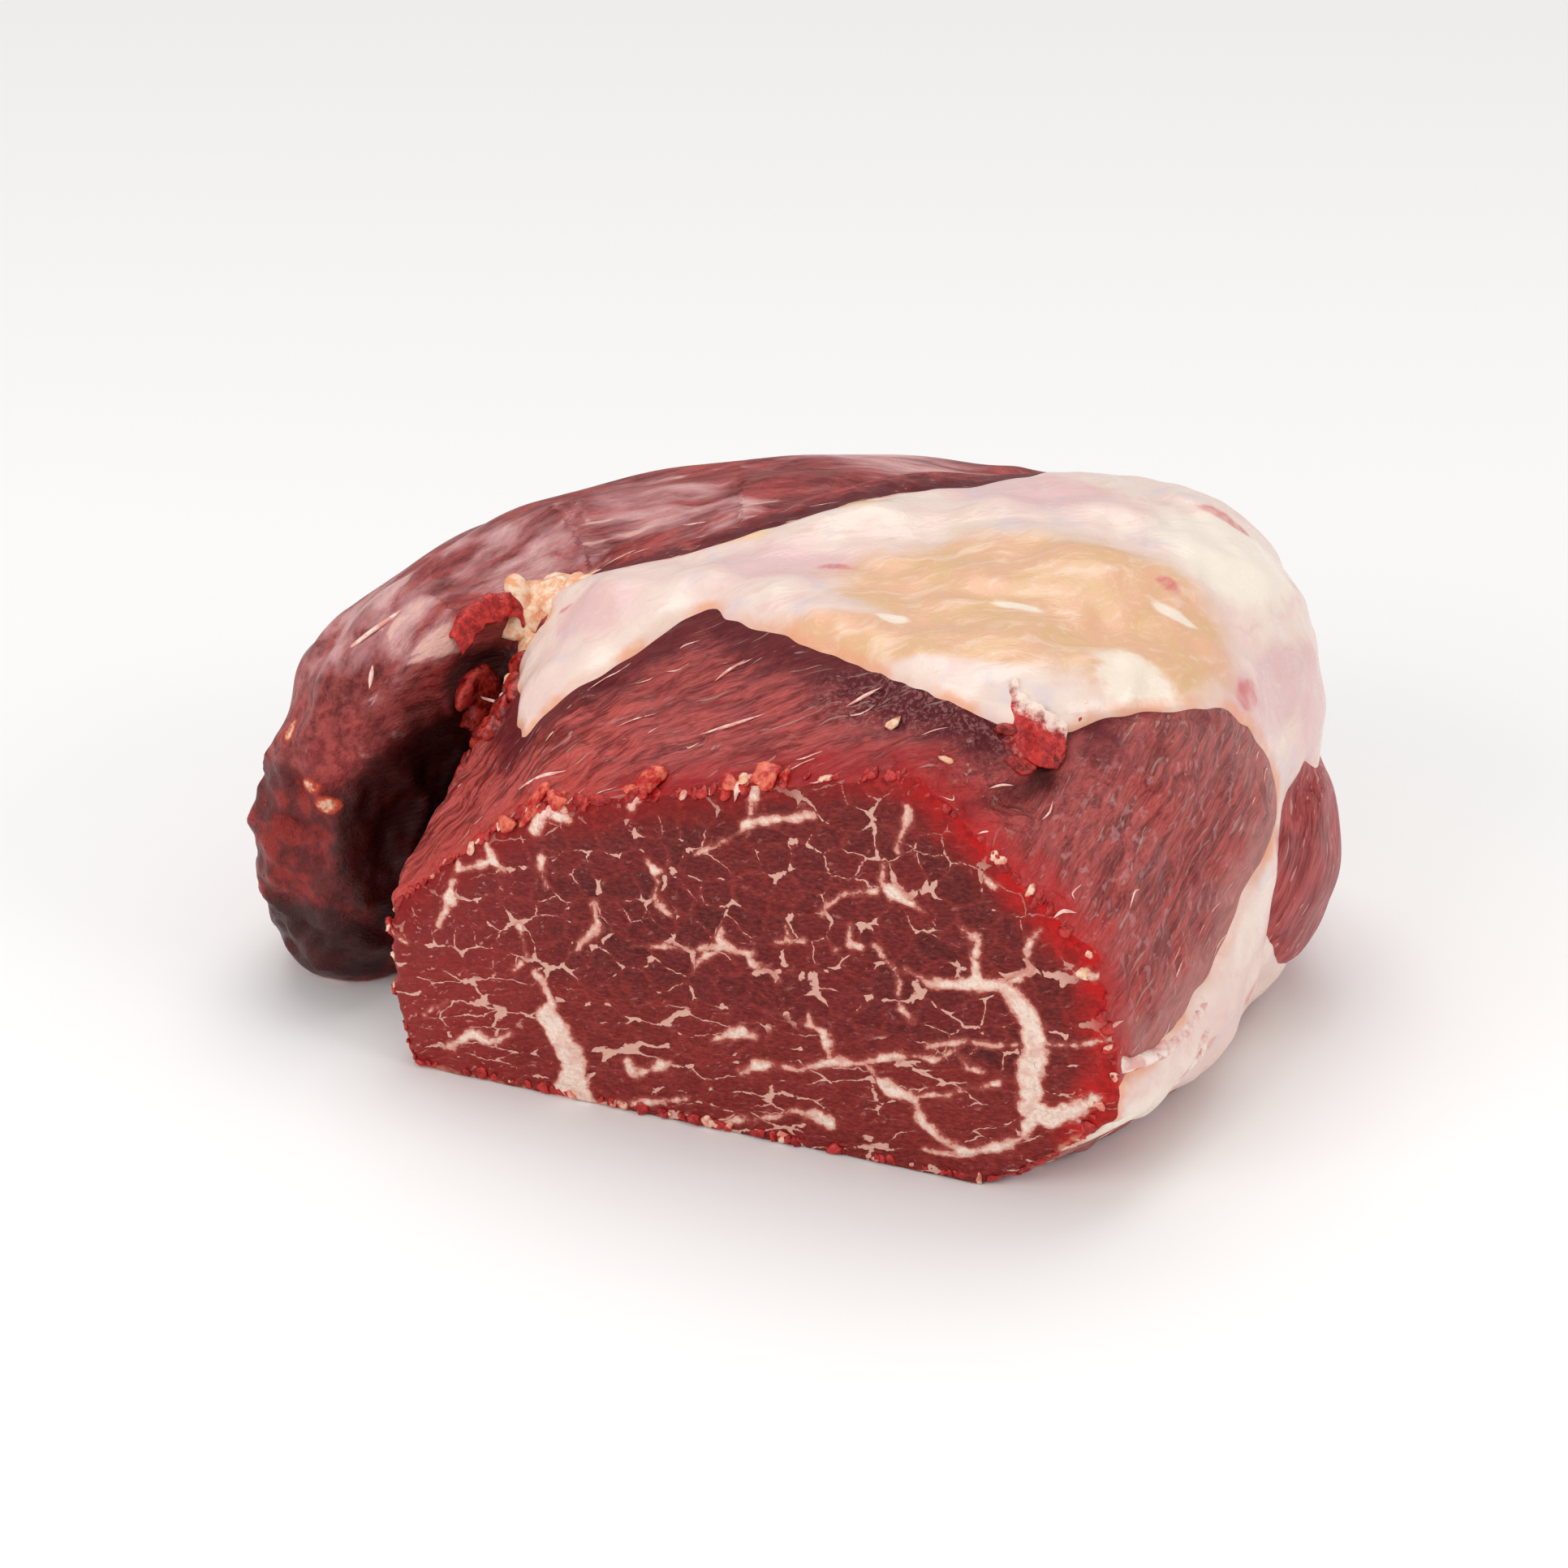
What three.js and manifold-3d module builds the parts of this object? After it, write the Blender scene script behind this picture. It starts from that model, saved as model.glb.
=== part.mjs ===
// A raw beef tenderloin roast: the thick head end of the tenderloin, cut straight across.
// Units are millimetres, +Z is up and the meat lies on z = 0. The marbled cut face looks along -Y.
//
// It is one piece of meat, so it is one solid. Three muscles are grown together in it:
//   the eye    the big muscle that the knife crossed, with a flat fat cap on its top
//   the wing   a thick side muscle that wraps round the left side and the back of the eye
//   the strip  a small muscle under the fat on the right, at the back
// Each is a rounded belly, joined to the others, and then trimmed with straight knife cuts.
// Between the eye and the front end of the wing a deep cleft stays open.
import * as THREE from "three";
import { mergeVertices } from "three/addons/utils/BufferGeometryUtils.js";
import Module from "manifold-3d";

// ---------- driving dimensions, mm ----------

const EYE = {
  centre: [16.5, -6, 30],
  half: [63, 75], // half width and half length, the length lying along Y
  rise: 43, // from its centre to its top
  tilt: 4, // how much higher its top is at the back end, over its half length
  roll: 4, // and on the right side, over its half width
  depth: 44, // from its centre to the bottom of the belly that the table flattens
  undercut: 52, // how far its right side draws in towards that bottom, at the cut face
  undercutFade: 27, // distance behind the cut face in which most of this is lost
  section: [3.3, 4.4], // upper and lower half: 2 is an ellipse, higher is boxier
  ends: 4,
  columns: 96,
  rows: 56,
};

const WING = {
  // the line that it follows round the eye, seen from above
  line: [[-67, -38], [-65, -8], [-53, 20], [-25, 42], [12, 45], [46, 38]],
  halfThickness: [15, 30], // at its front end and at its back end
  top: [52, 78], // height of its top over the table, at its front end and at its back end
  bottom: -8, // bottom of the belly that the table flattens
  lean: 8, // how far its top leans in over the eye
  section: [2.5, 2.8],
  ends: 4.5,
  columns: 56,
  rows: 64,
};

const STRIP = {
  centre: [63, 22, 23],
  half: [21.5, 28, 21],
  section: [2.4, 2.4],
  ends: 2.4,
  columns: 44,
  rows: 30,
};

// The web of soft tissue that roofs the closed end of the cleft.
const WEB = {
  centre: [-41, 12, 48],
  half: [16, 19, 15],
  columns: 32,
  rows: 22,
};

// Each knife cut is a plane, by a point on it and the direction that it faces.
const KNIFE_CUTS = {
  crossCut: { point: [0, -52, 0], facing: [0, -1, 0] },
  flankCut: { point: [-48, -52, 20], facing: [-0.95, 0.28, -0.14] },
  leftBevel: { point: [-22, -52, 46], facing: [-0.6, -0.4, 0.7] },
  topBevel: { point: [16, -52, 57], facing: [-0.22, -0.44, 0.87] },
  cornerBevel: { point: [47, -52, 58], facing: [0.57, -0.48, 0.66] },
  rightBevel: { point: [70, -52, 30], facing: [0.96, -0.21, 0.15] },
};

const KNIFE_REACH = 400; // side of the block that stands for what a knife cut takes away
const SMALLEST_EDGE = 0.02; // shorter edges, left where two surfaces cross, are closed up

// ---------- helpers ----------

const wasm = await Module();
wasm.setup();

// A closed three.js geometry as a solid for joining and cutting.
function solidOf(geometry) {
  const bare = geometry.clone();
  bare.deleteAttribute("normal");
  bare.deleteAttribute("uv");
  const merged = mergeVertices(bare, 1e-4);
  return new wasm.Manifold(
    new wasm.Mesh({
      numProp: 3,
      vertProperties: merged.attributes.position.array,
      triVerts: new Uint32Array(merged.index.array),
    }),
  );
}

// A solid as a three.js geometry.
function geometryOf(solid) {
  const { vertProperties, triVerts } = solid.asOriginal().simplify(SMALLEST_EDGE).getMesh();
  const geometry = new THREE.BufferGeometry();
  geometry.setAttribute("position", new THREE.BufferAttribute(vertProperties, 3));
  geometry.setIndex(new THREE.BufferAttribute(triVerts, 1));
  geometry.computeVertexNormals();
  return geometry;
}

// Moves every vertex of a geometry by a function of its place.
function warped(geometry, place) {
  const vertices = geometry.attributes.position;
  const point = new THREE.Vector3();
  for (let i = 0; i < vertices.count; i++) {
    const placed = place(point.fromBufferAttribute(vertices, i));
    vertices.setXYZ(i, placed.x, placed.y, placed.z);
  }
  return geometry;
}

// Pushes a point of the unit sphere out to a rounder or boxier belly. Its length lies along Y.
function fill({ x, y, z }, section, ends) {
  const power = z > 0 ? section[0] : section[1];
  const across = (Math.abs(x) ** power + Math.abs(z) ** power) ** (1 / power);
  const size = (across ** ends + Math.abs(y) ** ends) ** (1 / ends);
  return new THREE.Vector3(x / size, y / size, z / size);
}

function belly({ section, ends, columns, rows }, place) {
  const geometry = new THREE.SphereGeometry(1, columns, rows);
  return solidOf(warped(geometry, (point) => place(fill(point, section, ends))));
}

const mix = THREE.MathUtils.lerp;

// ---------- the muscles ----------

function eye() {
  const [width, length] = EYE.half;
  const centre = new THREE.Vector3(...EYE.centre);
  return belly(EYE, ({ x, y, z }) => {
    const up = z > 0 ? z * (EYE.rise + EYE.tilt * y + EYE.roll * x) : z * EYE.depth;
    const behind = EYE.centre[1] + y * length - KNIFE_CUTS.crossCut.point[1];
    const undercut = EYE.undercut * Math.exp(-behind / EYE.undercutFade);
    const inward = undercut * Math.max(x, 0) * Math.min(z, 0) ** 2;
    return new THREE.Vector3(x * width - inward, y * length, up).add(centre);
  });
}

function wing() {
  const line = new THREE.SplineCurve(WING.line.map((spot) => new THREE.Vector2(...spot)));
  return belly(WING, ({ x, y, z }) => {
    const along = (y + 1) / 2;
    const spot = line.getPointAt(along);
    const ahead = line.getTangentAt(along);
    const lean = WING.lean * Math.max(z, 0) ** 2;
    const inward = x * mix(...WING.halfThickness, along) + lean;
    const up = mix(WING.bottom, mix(...WING.top, Math.sqrt(along)), (z + 1) / 2);
    return new THREE.Vector3(spot.x + ahead.y * inward, spot.y - ahead.x * inward, up);
  });
}

function strip() {
  const half = new THREE.Vector3(...STRIP.half);
  const centre = new THREE.Vector3(...STRIP.centre);
  return belly(STRIP, (point) => point.multiply(half).add(centre));
}

function web() {
  const ball = new THREE.SphereGeometry(1, WEB.columns, WEB.rows);
  return solidOf(ball.scale(...WEB.half).translate(...WEB.centre));
}

// ---------- cuts ----------

// The block of space on the far side of a knife cut.
function offcut({ point, facing }) {
  const normal = new THREE.Vector3(...facing).normalize();
  const block = new THREE.BoxGeometry(KNIFE_REACH, KNIFE_REACH, KNIFE_REACH);
  block.translate(0, 0, KNIFE_REACH / 2);
  block.applyQuaternion(
    new THREE.Quaternion().setFromUnitVectors(new THREE.Vector3(0, 0, 1), normal),
  );
  return solidOf(block.translate(...point));
}

// ---------- the roast ----------

function roast() {
  let trimmed = eye();
  for (const cut of Object.values(KNIFE_CUTS)) trimmed = trimmed.subtract(offcut(cut));
  const table = offcut({ point: [0, 0, 0], facing: [0, 0, -1] });
  return trimmed.add(wing()).add(strip()).add(web()).subtract(table);
}

// The origin is under the middle of the piece.
function centred(geometry) {
  geometry.computeBoundingBox();
  const middle = geometry.boundingBox.getCenter(new THREE.Vector3());
  return geometry.translate(-middle.x, -middle.y, 0);
}

const tenderloin = new THREE.Mesh(
  centred(geometryOf(roast())),
  new THREE.MeshStandardMaterial({ color: 0x944342, roughness: 0.42, metalness: 0 }),
);
tenderloin.name = "tenderloin";

const part = new THREE.Group();
part.add(tenderloin);

export default part;
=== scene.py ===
import math

import bmesh
import bpy
import numpy as np
from mathutils import Euler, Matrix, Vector
from mathutils.bvhtree import BVHTree
from mathutils.kdtree import KDTree


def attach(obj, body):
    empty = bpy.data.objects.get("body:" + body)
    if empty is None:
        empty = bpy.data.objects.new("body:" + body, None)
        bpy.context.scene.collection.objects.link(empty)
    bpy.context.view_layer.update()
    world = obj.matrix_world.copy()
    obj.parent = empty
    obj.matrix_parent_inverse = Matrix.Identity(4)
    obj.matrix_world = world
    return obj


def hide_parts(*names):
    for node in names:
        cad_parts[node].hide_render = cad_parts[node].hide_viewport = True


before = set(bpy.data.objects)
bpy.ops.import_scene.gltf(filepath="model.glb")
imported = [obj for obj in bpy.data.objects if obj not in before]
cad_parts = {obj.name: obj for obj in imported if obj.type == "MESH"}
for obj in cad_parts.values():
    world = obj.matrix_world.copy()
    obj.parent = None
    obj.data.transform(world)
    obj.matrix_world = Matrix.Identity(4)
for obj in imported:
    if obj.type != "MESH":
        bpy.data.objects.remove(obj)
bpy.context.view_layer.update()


# ---------- camera, light and floor ----------
# The roast lies on a plain pale floor in soft studio light: a broad light from over its back, a soft
# box in front on the left, a weaker one on the right, and a pale surround. The camera looks down on
# it from the front, a little from the right.

AIM = Vector((-0.0012, -0.0097, 0.033))
CAMERA_AZIMUTH = math.radians(22)
CAMERA_HEIGHT = math.radians(25)
CAMERA_DISTANCE = 0.533
CAMERA_LENS = 76.25
SENSOR = 36.0
WHITE_SURROUND = (1.0, 0.985, 0.97)
SURROUND_STRENGTH = 0.46
FLOOR_SIDE = 60.0
FLOOR_COLOUR = (0.93, 0.925, 0.92)
FLOOR_DROP = 0.0002
FLOOR_ROUGHNESS = 0.8
OVER_FROM = (-0.15, 0.35, 0.85)
OVER_STRENGTH = 1.3
OVER_SPREAD = math.radians(50)
SOFT_BOXES = {
    # name: (place, aimed at, width, height, watts)
    "front": ((-0.45, -0.9, 0.55), (0, -0.03, 0.03), 0.8, 0.6, 5.2),
    "right": ((0.95, -0.1, 0.5), (0, 0, 0.03), 0.5, 0.5, 2.8),
}


def linked(made):
    bpy.context.scene.collection.objects.link(made)
    return made


def facing(place, target):
    """The turn of a camera or a light at a place that looks at a target."""
    return (Vector(target) - Vector(place)).to_track_quat("-Z", "Y").to_euler()


def camera():
    flat = math.cos(CAMERA_HEIGHT)
    back = Vector((
        math.sin(CAMERA_AZIMUTH) * flat,
        -math.cos(CAMERA_AZIMUTH) * flat,
        math.sin(CAMERA_HEIGHT),
    ))
    made = linked(bpy.data.objects.new("camera", bpy.data.cameras.new("camera")))
    made.data.sensor_width = SENSOR
    made.data.sensor_height = SENSOR
    made.data.lens = CAMERA_LENS
    made.location = AIM + back * CAMERA_DISTANCE
    made.rotation_euler = facing(made.location, AIM)
    bpy.context.scene.camera = made


def soft_box(name, place, target, width, height, watts):
    light = bpy.data.lights.new(name, "AREA")
    light.shape = "RECTANGLE"
    light.size = width
    light.size_y = height
    light.energy = watts
    made = linked(bpy.data.objects.new(name, light))
    made.location = place
    made.rotation_euler = facing(place, target)


def overhead():
    light = bpy.data.lights.new("over", "SUN")
    light.energy = OVER_STRENGTH
    light.angle = OVER_SPREAD
    made = linked(bpy.data.objects.new("over", light))
    made.location = OVER_FROM
    made.rotation_euler = facing(OVER_FROM, (0, 0, 0))


def surround():
    world = bpy.data.worlds.new("surround")
    world.use_nodes = True
    back = world.node_tree.nodes["Background"]
    back.inputs["Color"].default_value = (*WHITE_SURROUND, 1)
    back.inputs["Strength"].default_value = SURROUND_STRENGTH
    bpy.context.scene.world = world


def floor():
    bm = bmesh.new()
    bmesh.ops.create_grid(bm, x_segments=1, y_segments=1, size=FLOOR_SIDE / 2)
    bmesh.ops.translate(bm, verts=bm.verts, vec=(0, 0, -FLOOR_DROP))
    mesh = bpy.data.meshes.new("floor")
    bm.to_mesh(mesh)
    bm.free()
    matt = bpy.data.materials.new("floor")
    matt.use_nodes = True
    sockets = matt.node_tree.nodes["Principled BSDF"].inputs
    sockets["Base Color"].default_value = (*FLOOR_COLOUR, 1)
    sockets["Roughness"].default_value = FLOOR_ROUGHNESS
    mesh.materials.append(matt)
    linked(bpy.data.objects.new("floor", mesh))


camera()
surround()
floor()
overhead()
for box_name, box in SOFT_BOXES.items():
    soft_box(box_name, *box)
bpy.context.scene.view_settings.view_transform = "Standard"


# ---------- the skin of the roast ----------
# The large surfaces are all cut from one skin: that of the solid, with its facets worked smooth and
# with the slack, slightly lumpy roundness of soft meat. It is worked in millimetres.

TO_MM = 1000.0
GRID = 0.8
SMOOTH_ROUNDS = 12
ON_TABLE = 0.6
CUT_PLANE = -61.68
SWELL = 0.55
SWELL_SIZE = (20.0, 42.0)
FRAYED = 0.5
FRAY_SIZE = (3, 8)
FRAY_REACH = 9


def waves(points, size, seed, count=28):
    """Smooth unevenness between about -1 and 1: waves of many directions, size mm long."""
    draw = np.random.default_rng(seed)
    turn = draw.normal(size=(count, 3))
    turn /= np.linalg.norm(turn, axis=1)[:, None]
    lengths = draw.uniform(size[0], size[1], count)
    start = draw.uniform(0, 2 * math.pi, count)
    total = np.sin(points @ (turn * (2 * math.pi / lengths)[:, None]).T + start).sum(axis=1)
    return total / math.sqrt(count)


def smoothstep(value, low, high):
    """A soft step from 0, at low, to 1, at high."""
    part = np.clip((value - low) / (high - low), 0, 1)
    return part * part * (3 - 2 * part)


def places(bm):
    return np.array([vert.co for vert in bm.verts])


def normals(bm):
    bm.normal_update()
    return np.array([vert.normal for vert in bm.verts])


def push(bm, amount):
    """Moves every vertex along its normal by its own amount in mm."""
    for vert, step in zip(bm.verts, normals(bm) * np.asarray(amount)[:, None]):
        vert.co += Vector(step)


def skin():
    bm = bmesh.new()
    bm.from_mesh(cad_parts["tenderloin"].data)
    bmesh.ops.remove_doubles(bm, verts=bm.verts, dist=0.00001)
    bmesh.ops.scale(bm, vec=(TO_MM, TO_MM, TO_MM), verts=bm.verts)
    mesh = bpy.data.meshes.new("skin")
    bm.to_mesh(mesh)
    bm.free()
    holder = linked(bpy.data.objects.new("skin", mesh))
    even = holder.modifiers.new("even", "REMESH")
    even.mode = "VOXEL"
    even.voxel_size = GRID
    bm = bmesh.new()
    bm.from_object(holder, bpy.context.evaluated_depsgraph_get())
    bpy.data.objects.remove(holder)
    slack = [vert for vert in bm.verts if vert.co.z > ON_TABLE]
    for _ in range(SMOOTH_ROUNDS):
        bmesh.ops.smooth_vert(
            bm, verts=slack, factor=0.5, use_axis_x=True, use_axis_y=True, use_axis_z=True
        )
    at = places(bm)
    swell = waves(at, SWELL_SIZE, 3) * SWELL
    swell *= smoothstep(at[:, 2], 0, 12) * smoothstep(at[:, 1], CUT_PLANE + 1, CUT_PLANE + 14)
    push(bm, swell)
    at = places(bm)
    out = normals(bm) * (1, 0, 1)
    fray = waves(at, FRAY_SIZE, 4) * smoothstep(at[:, 1], CUT_PLANE + FRAY_REACH, CUT_PLANE) * FRAYED
    fray *= smoothstep(at[:, 2], 0.5, 4)
    for vert, step in zip(bm.verts, out * fray[:, None]):
        vert.co += Vector(step)
    return bm


roast = skin()


# ---------- dividing the skin ----------
# The knife cut, the fat cap, the side muscle, the strip on the right and the side that it lies on
# are parted along the lines where they meet on the real meat. Each part then becomes a piece of its
# own, a closed shell as thick as that layer is taken to be.

CUT_EDGE = 0.8
UNDERSIDE_EDGE = 0.5
SNAP = 0.18
OPEN_RAYS = 40
OPEN_REACH = 45
OPEN_START = 0.5
GRAZING = 0.1
CLEFT_SIDE = (-18, 16)
TRIMMED, CUT, FAT, WING, STRIP, UNDER = range(6)
STRIP_SIDE = 45
STRIP_UNEVEN = 0.6
STRIP_OUTLINE = (
    # (y, z), as seen from the right
    (-10, 26), (-8, 32), (-3, 36.5), (5, 39.5), (13, 40), (21, 37), (28, 35.5), (36, 31), (42, 27),
    (45, 22), (41, 16), (34, 12), (26, 8), (16, 6.5), (7, 8.5), (0, 12), (-6, 18),
)
CURTAIN = (
    # (x, y) along the line where the side muscle meets the eye muscle, seen from above
    (-53, -95), (-51, -55), (-48, -35), (-42, -15), (-36, -4), (-19, 1), (-6, 15), (9, 33),
    (24, 43), (44, 47), (70, 49), (110, 52),
)
BACK = 28
DOME_CENTRE = (15, -5, 5)
DOME_SCALE = 60
FAT_OUTLINE = (
    # from the tip at the cleft, back along the side muscle and over the top
    (-31, -43, 50), (-37, -31, 51), (-44, -16, 52), (-46, -13, 55), (-44, -10, 59),
    (-38, -9, 61), (-31, -12, 65), (-24, -9, 68), (-16, -5, 70), (-10, 0, 71), (-2, 6, 73),
    (4, 12, 73), (9, 20, 74), (15, 26, 74), (21, 31, 74), (28, 38, 72), (33, 46, 66),
    # down the back, and forwards along the bottom of the right side
    (40, 51, 58), (43, 54, 46), (50, 52, 36), (49, 52, 25), (56, 49, 13), (64, 43, 9),
    (74, 25, 5), (78, 5, 3), (74, -12, 2), (71, -30, 4), (70, -45, 8), (67, -55, 9),
    (62, -62, 8), (70, -62, 17),
    # up the trimmed edge on the right, and along it over the front
    (71, -60, 21), (73, -52, 22), (75, -40, 24), (77, -30, 28), (77, -22, 34), (78, -13, 38),
    (78, -5, 39), (78, -4, 43), (77, -7, 50), (75, -14, 58), (72, -19, 62), (67, -28, 64),
    (61, -34, 65), (56, -41, 65), (51, -45, 65), (41, -49, 70), (24, -41, 70), (7, -34, 69),
    (-1, -30, 69), (-7, -27, 69), (-14, -32, 65), (-22, -39, 59), (-27, -42, 54),
)


def beside(points, start, end):
    """How far along a straight line each point lies, 0 to 1, and how it lies from there in mm."""
    along = end - start
    part = np.clip((points - start) @ along / (along @ along), 0, 1)
    return part, points - start - part[:, None] * along


def side_of(points, line):
    """The distance in mm to a line drawn through points in plan, positive on its left."""
    line = np.asarray(line, float)
    best = np.full(len(points), np.inf)
    signed = np.zeros(len(points))
    for start, end in zip(line[:-1], line[1:]):
        along = end - start
        _, away = beside(points, start, end)
        far = np.hypot(away[:, 0], away[:, 1])
        side = np.sign(along[0] * away[:, 1] - along[1] * away[:, 0])
        nearer = far < best
        best = np.where(nearer, far, best)
        signed = np.where(nearer, far * side, signed)
    return signed


def dome(points):
    """Spreads points round the eye muscle flat, as seen from its middle."""
    away = np.asarray(points, float) - np.array(DOME_CENTRE)
    reach = np.linalg.norm(away, axis=1)
    tilt = np.arccos(np.clip(away[:, 2] / reach, -1, 1))
    flat = np.maximum(np.hypot(away[:, 0], away[:, 1]), 1e-6)
    return away[:, :2] * (tilt * DOME_SCALE / flat)[:, None]


def within(points, loop):
    """The distance in mm to a closed outline, positive inside it."""
    inside = np.zeros(len(points), bool)
    far = np.full(len(points), np.inf)
    for start, end in zip(loop, np.roll(loop, -1, axis=0)):
        _, away = beside(points, start, end)
        far = np.minimum(far, np.linalg.norm(away, axis=1))
        crosses = (start[1] > points[:, 1]) != (end[1] > points[:, 1])
        slope = (end[0] - start[0]) / (end[1] - start[1] if end[1] != start[1] else 1e-9)
        inside ^= crosses & (points[:, 0] < start[0] + slope * (points[:, 1] - start[1]))
    return np.where(inside, far, -far)


def bend(before, start, end, after, t):
    """A point on the smooth curve from start to end, t being 0 at the start and 1 at the end."""
    slope = (end - before) * t
    square = (2 * before - 5 * start + 4 * end - after) * t ** 2
    return 0.5 * (2 * start + slope + square + (3 * start - before - 3 * end + after) * t ** 3)


def rounded(loop, steps=4):
    """A closed outline through the same points with its corners drawn as curves."""
    loop = np.asarray(loop, float)
    drawn = []
    for i in range(len(loop)):
        near = [loop[(i + k) % len(loop)] for k in (-1, 0, 1, 2)]
        drawn += [bend(*near, t) for t in np.arange(steps) / steps]
    return np.array(drawn)


def strip_field(at):
    """Positive on the strip, as the other fields are on their own part of the skin."""
    inside = within(at[:, 1:], rounded(STRIP_OUTLINE)) + waves(at, (4, 11), 12) * STRIP_UNEVEN
    return np.where(at[:, 0] > STRIP_SIDE, inside, -99)


def wing_field(at):
    return side_of(at[:, :2], CURTAIN)


def fat_field(at):
    edge = waves(at, (4, 9), 11) * 0.25
    return within(dome(at), rounded(dome(FAT_OUTLINE))) + edge


def fat_behind(at):
    """The fat again, where it drapes over the side muscle at the back."""
    return np.where(at[:, 1] > BACK, fat_field(at), -1)


def part_along(bm, field):
    """Cuts the skin where the field changes sign, and returns the field at each vertex."""
    bm.verts.ensure_lookup_table()
    value = bm.verts.layers.float.get("field") or bm.verts.layers.float.new("field")
    for vert, level in zip(bm.verts, field):
        vert[value] = level
    for edge in bm.edges:
        a, b = edge.verts
        if a[value] * b[value] < 0:
            part = a[value] / (a[value] - b[value])
            if part < SNAP:
                a.co = a.co.lerp(b.co, part)
                a[value] = 0
            elif part > 1 - SNAP:
                b.co = b.co.lerp(a.co, 1 - part)
                b[value] = 0
    for edge in list(bm.edges):
        a, b = edge.verts
        if a[value] * b[value] < 0:
            _, made = bmesh.utils.edge_split(edge, a, a[value] / (a[value] - b[value]))
            made[value] = 0
    bmesh.ops.connect_verts(bm, verts=[vert for vert in bm.verts if vert[value] == 0])
    return value


def label(bm, value, name, over):
    """Names the faces where the field is positive, of those that have one of some names so far."""
    for face in bm.faces:
        if face.material_index in over and sum(vert[value] for vert in face.verts) > 0:
            face.material_index = name


def divide(bm):
    """Parts the skin, one field after the other, into its named areas."""
    for face in bm.faces:
        face.material_index = TRIMMED
    for field, name, over in (
        (lambda at: CUT_PLANE + CUT_EDGE - at[:, 1], CUT, (TRIMMED,)),
        (lambda at: UNDERSIDE_EDGE - at[:, 2], UNDER, (TRIMMED,)),
        (strip_field, STRIP, (TRIMMED,)),
        (wing_field, WING, (TRIMMED,)),
        (fat_field, FAT, (TRIMMED,)),
        (fat_behind, FAT, (WING,)),
    ):
        label(bm, part_along(bm, field(places(bm))), name, over)


divide(roast)


def note_openness(bm):
    """Keeps on the skin how much open air each vertex round the cleft sees, from 0 to 1. The flesh
    materials paint shade into the cleft by it.
    """
    layer = bm.verts.layers.float.new("open")
    tree = BVHTree.FromBMesh(bm)
    golden = math.pi * (3 - math.sqrt(5))
    rays = []
    for i in range(OPEN_RAYS):
        up = 1 - 2 * (i + 0.5) / OPEN_RAYS
        flat = math.sqrt(1 - up * up)
        rays.append(Vector((math.cos(golden * i) * flat, math.sin(golden * i) * flat, up)))
    bm.normal_update()
    for vert in bm.verts:
        vert[layer] = 1
        if vert.co.x < CLEFT_SIDE[0] and vert.co.y < CLEFT_SIDE[1]:
            sent = [ray for ray in rays if ray.dot(vert.normal) > GRAZING]
            start = vert.co + vert.normal * OPEN_START
            free = sum(tree.ray_cast(start, ray, OPEN_REACH)[0] is None for ray in sent)
            vert[layer] = free / len(sent)


note_openness(roast)


def kept(bm, name):
    """The numbers that the skin keeps under a name, one for each vertex."""
    layer = bm.verts.layers.float[name]
    return np.array([vert[layer] for vert in bm.verts])


def patch(name):
    """A copy of one part of the skin."""
    bm = roast.copy()
    spare = [face for face in bm.faces if face.material_index != name]
    bmesh.ops.delete(bm, geom=spare, context="FACES")
    for face in bm.faces:
        face.material_index = 0
    return bm


def from_border(bm):
    """The distance in mm of each vertex to the patch's border."""
    border = [vert for vert in bm.verts if vert.is_boundary]
    tree = KDTree(len(border))
    for i, vert in enumerate(border):
        tree.insert(vert.co, i)
    tree.balance()
    return np.array([tree.find(vert.co)[2] for vert in bm.verts])


def finished(bm, name, material, wall, marks=None, side=-1, soft=0):
    """Makes a piece a closed shell of real thickness, in metres, and hands it to the frame."""
    for face in bm.faces:
        face.smooth = True
    for edge in bm.edges:
        if edge.is_boundary:
            edge.smooth = False
    bmesh.ops.scale(bm, vec=(1 / TO_MM,) * 3, verts=bm.verts)
    mesh = bpy.data.meshes.new(name)
    bm.to_mesh(mesh)
    bm.free()
    for key, values in (marks or {}).items():
        values = np.asarray(values, np.float32)
        if values.ndim == 1:
            mesh.attributes.new(key, "FLOAT", "POINT").data.foreach_set("value", values)
        else:
            layer = mesh.attributes.new(key, "FLOAT_VECTOR", "POINT")
            layer.data.foreach_set("vector", values.ravel())
    mesh.materials.append(material)
    made = linked(bpy.data.objects.new(name, mesh))
    if wall:
        shell = made.modifiers.new("wall", "SOLIDIFY")
        shell.thickness = wall / TO_MM
        shell.offset = side
    if soft:
        curved = made.modifiers.new("soft", "SUBSURF")
        curved.levels = soft
        curved.render_levels = soft
    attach(made, "root")
    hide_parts("tenderloin")


# ---------- the cut face ----------
# The knife went straight across the eye muscle: dark bundles of fibres in a net of fine fat, with thick
# fat seams where muscles join, and a thin, wet edge painted bright with the light that shines through
# it.

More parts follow.
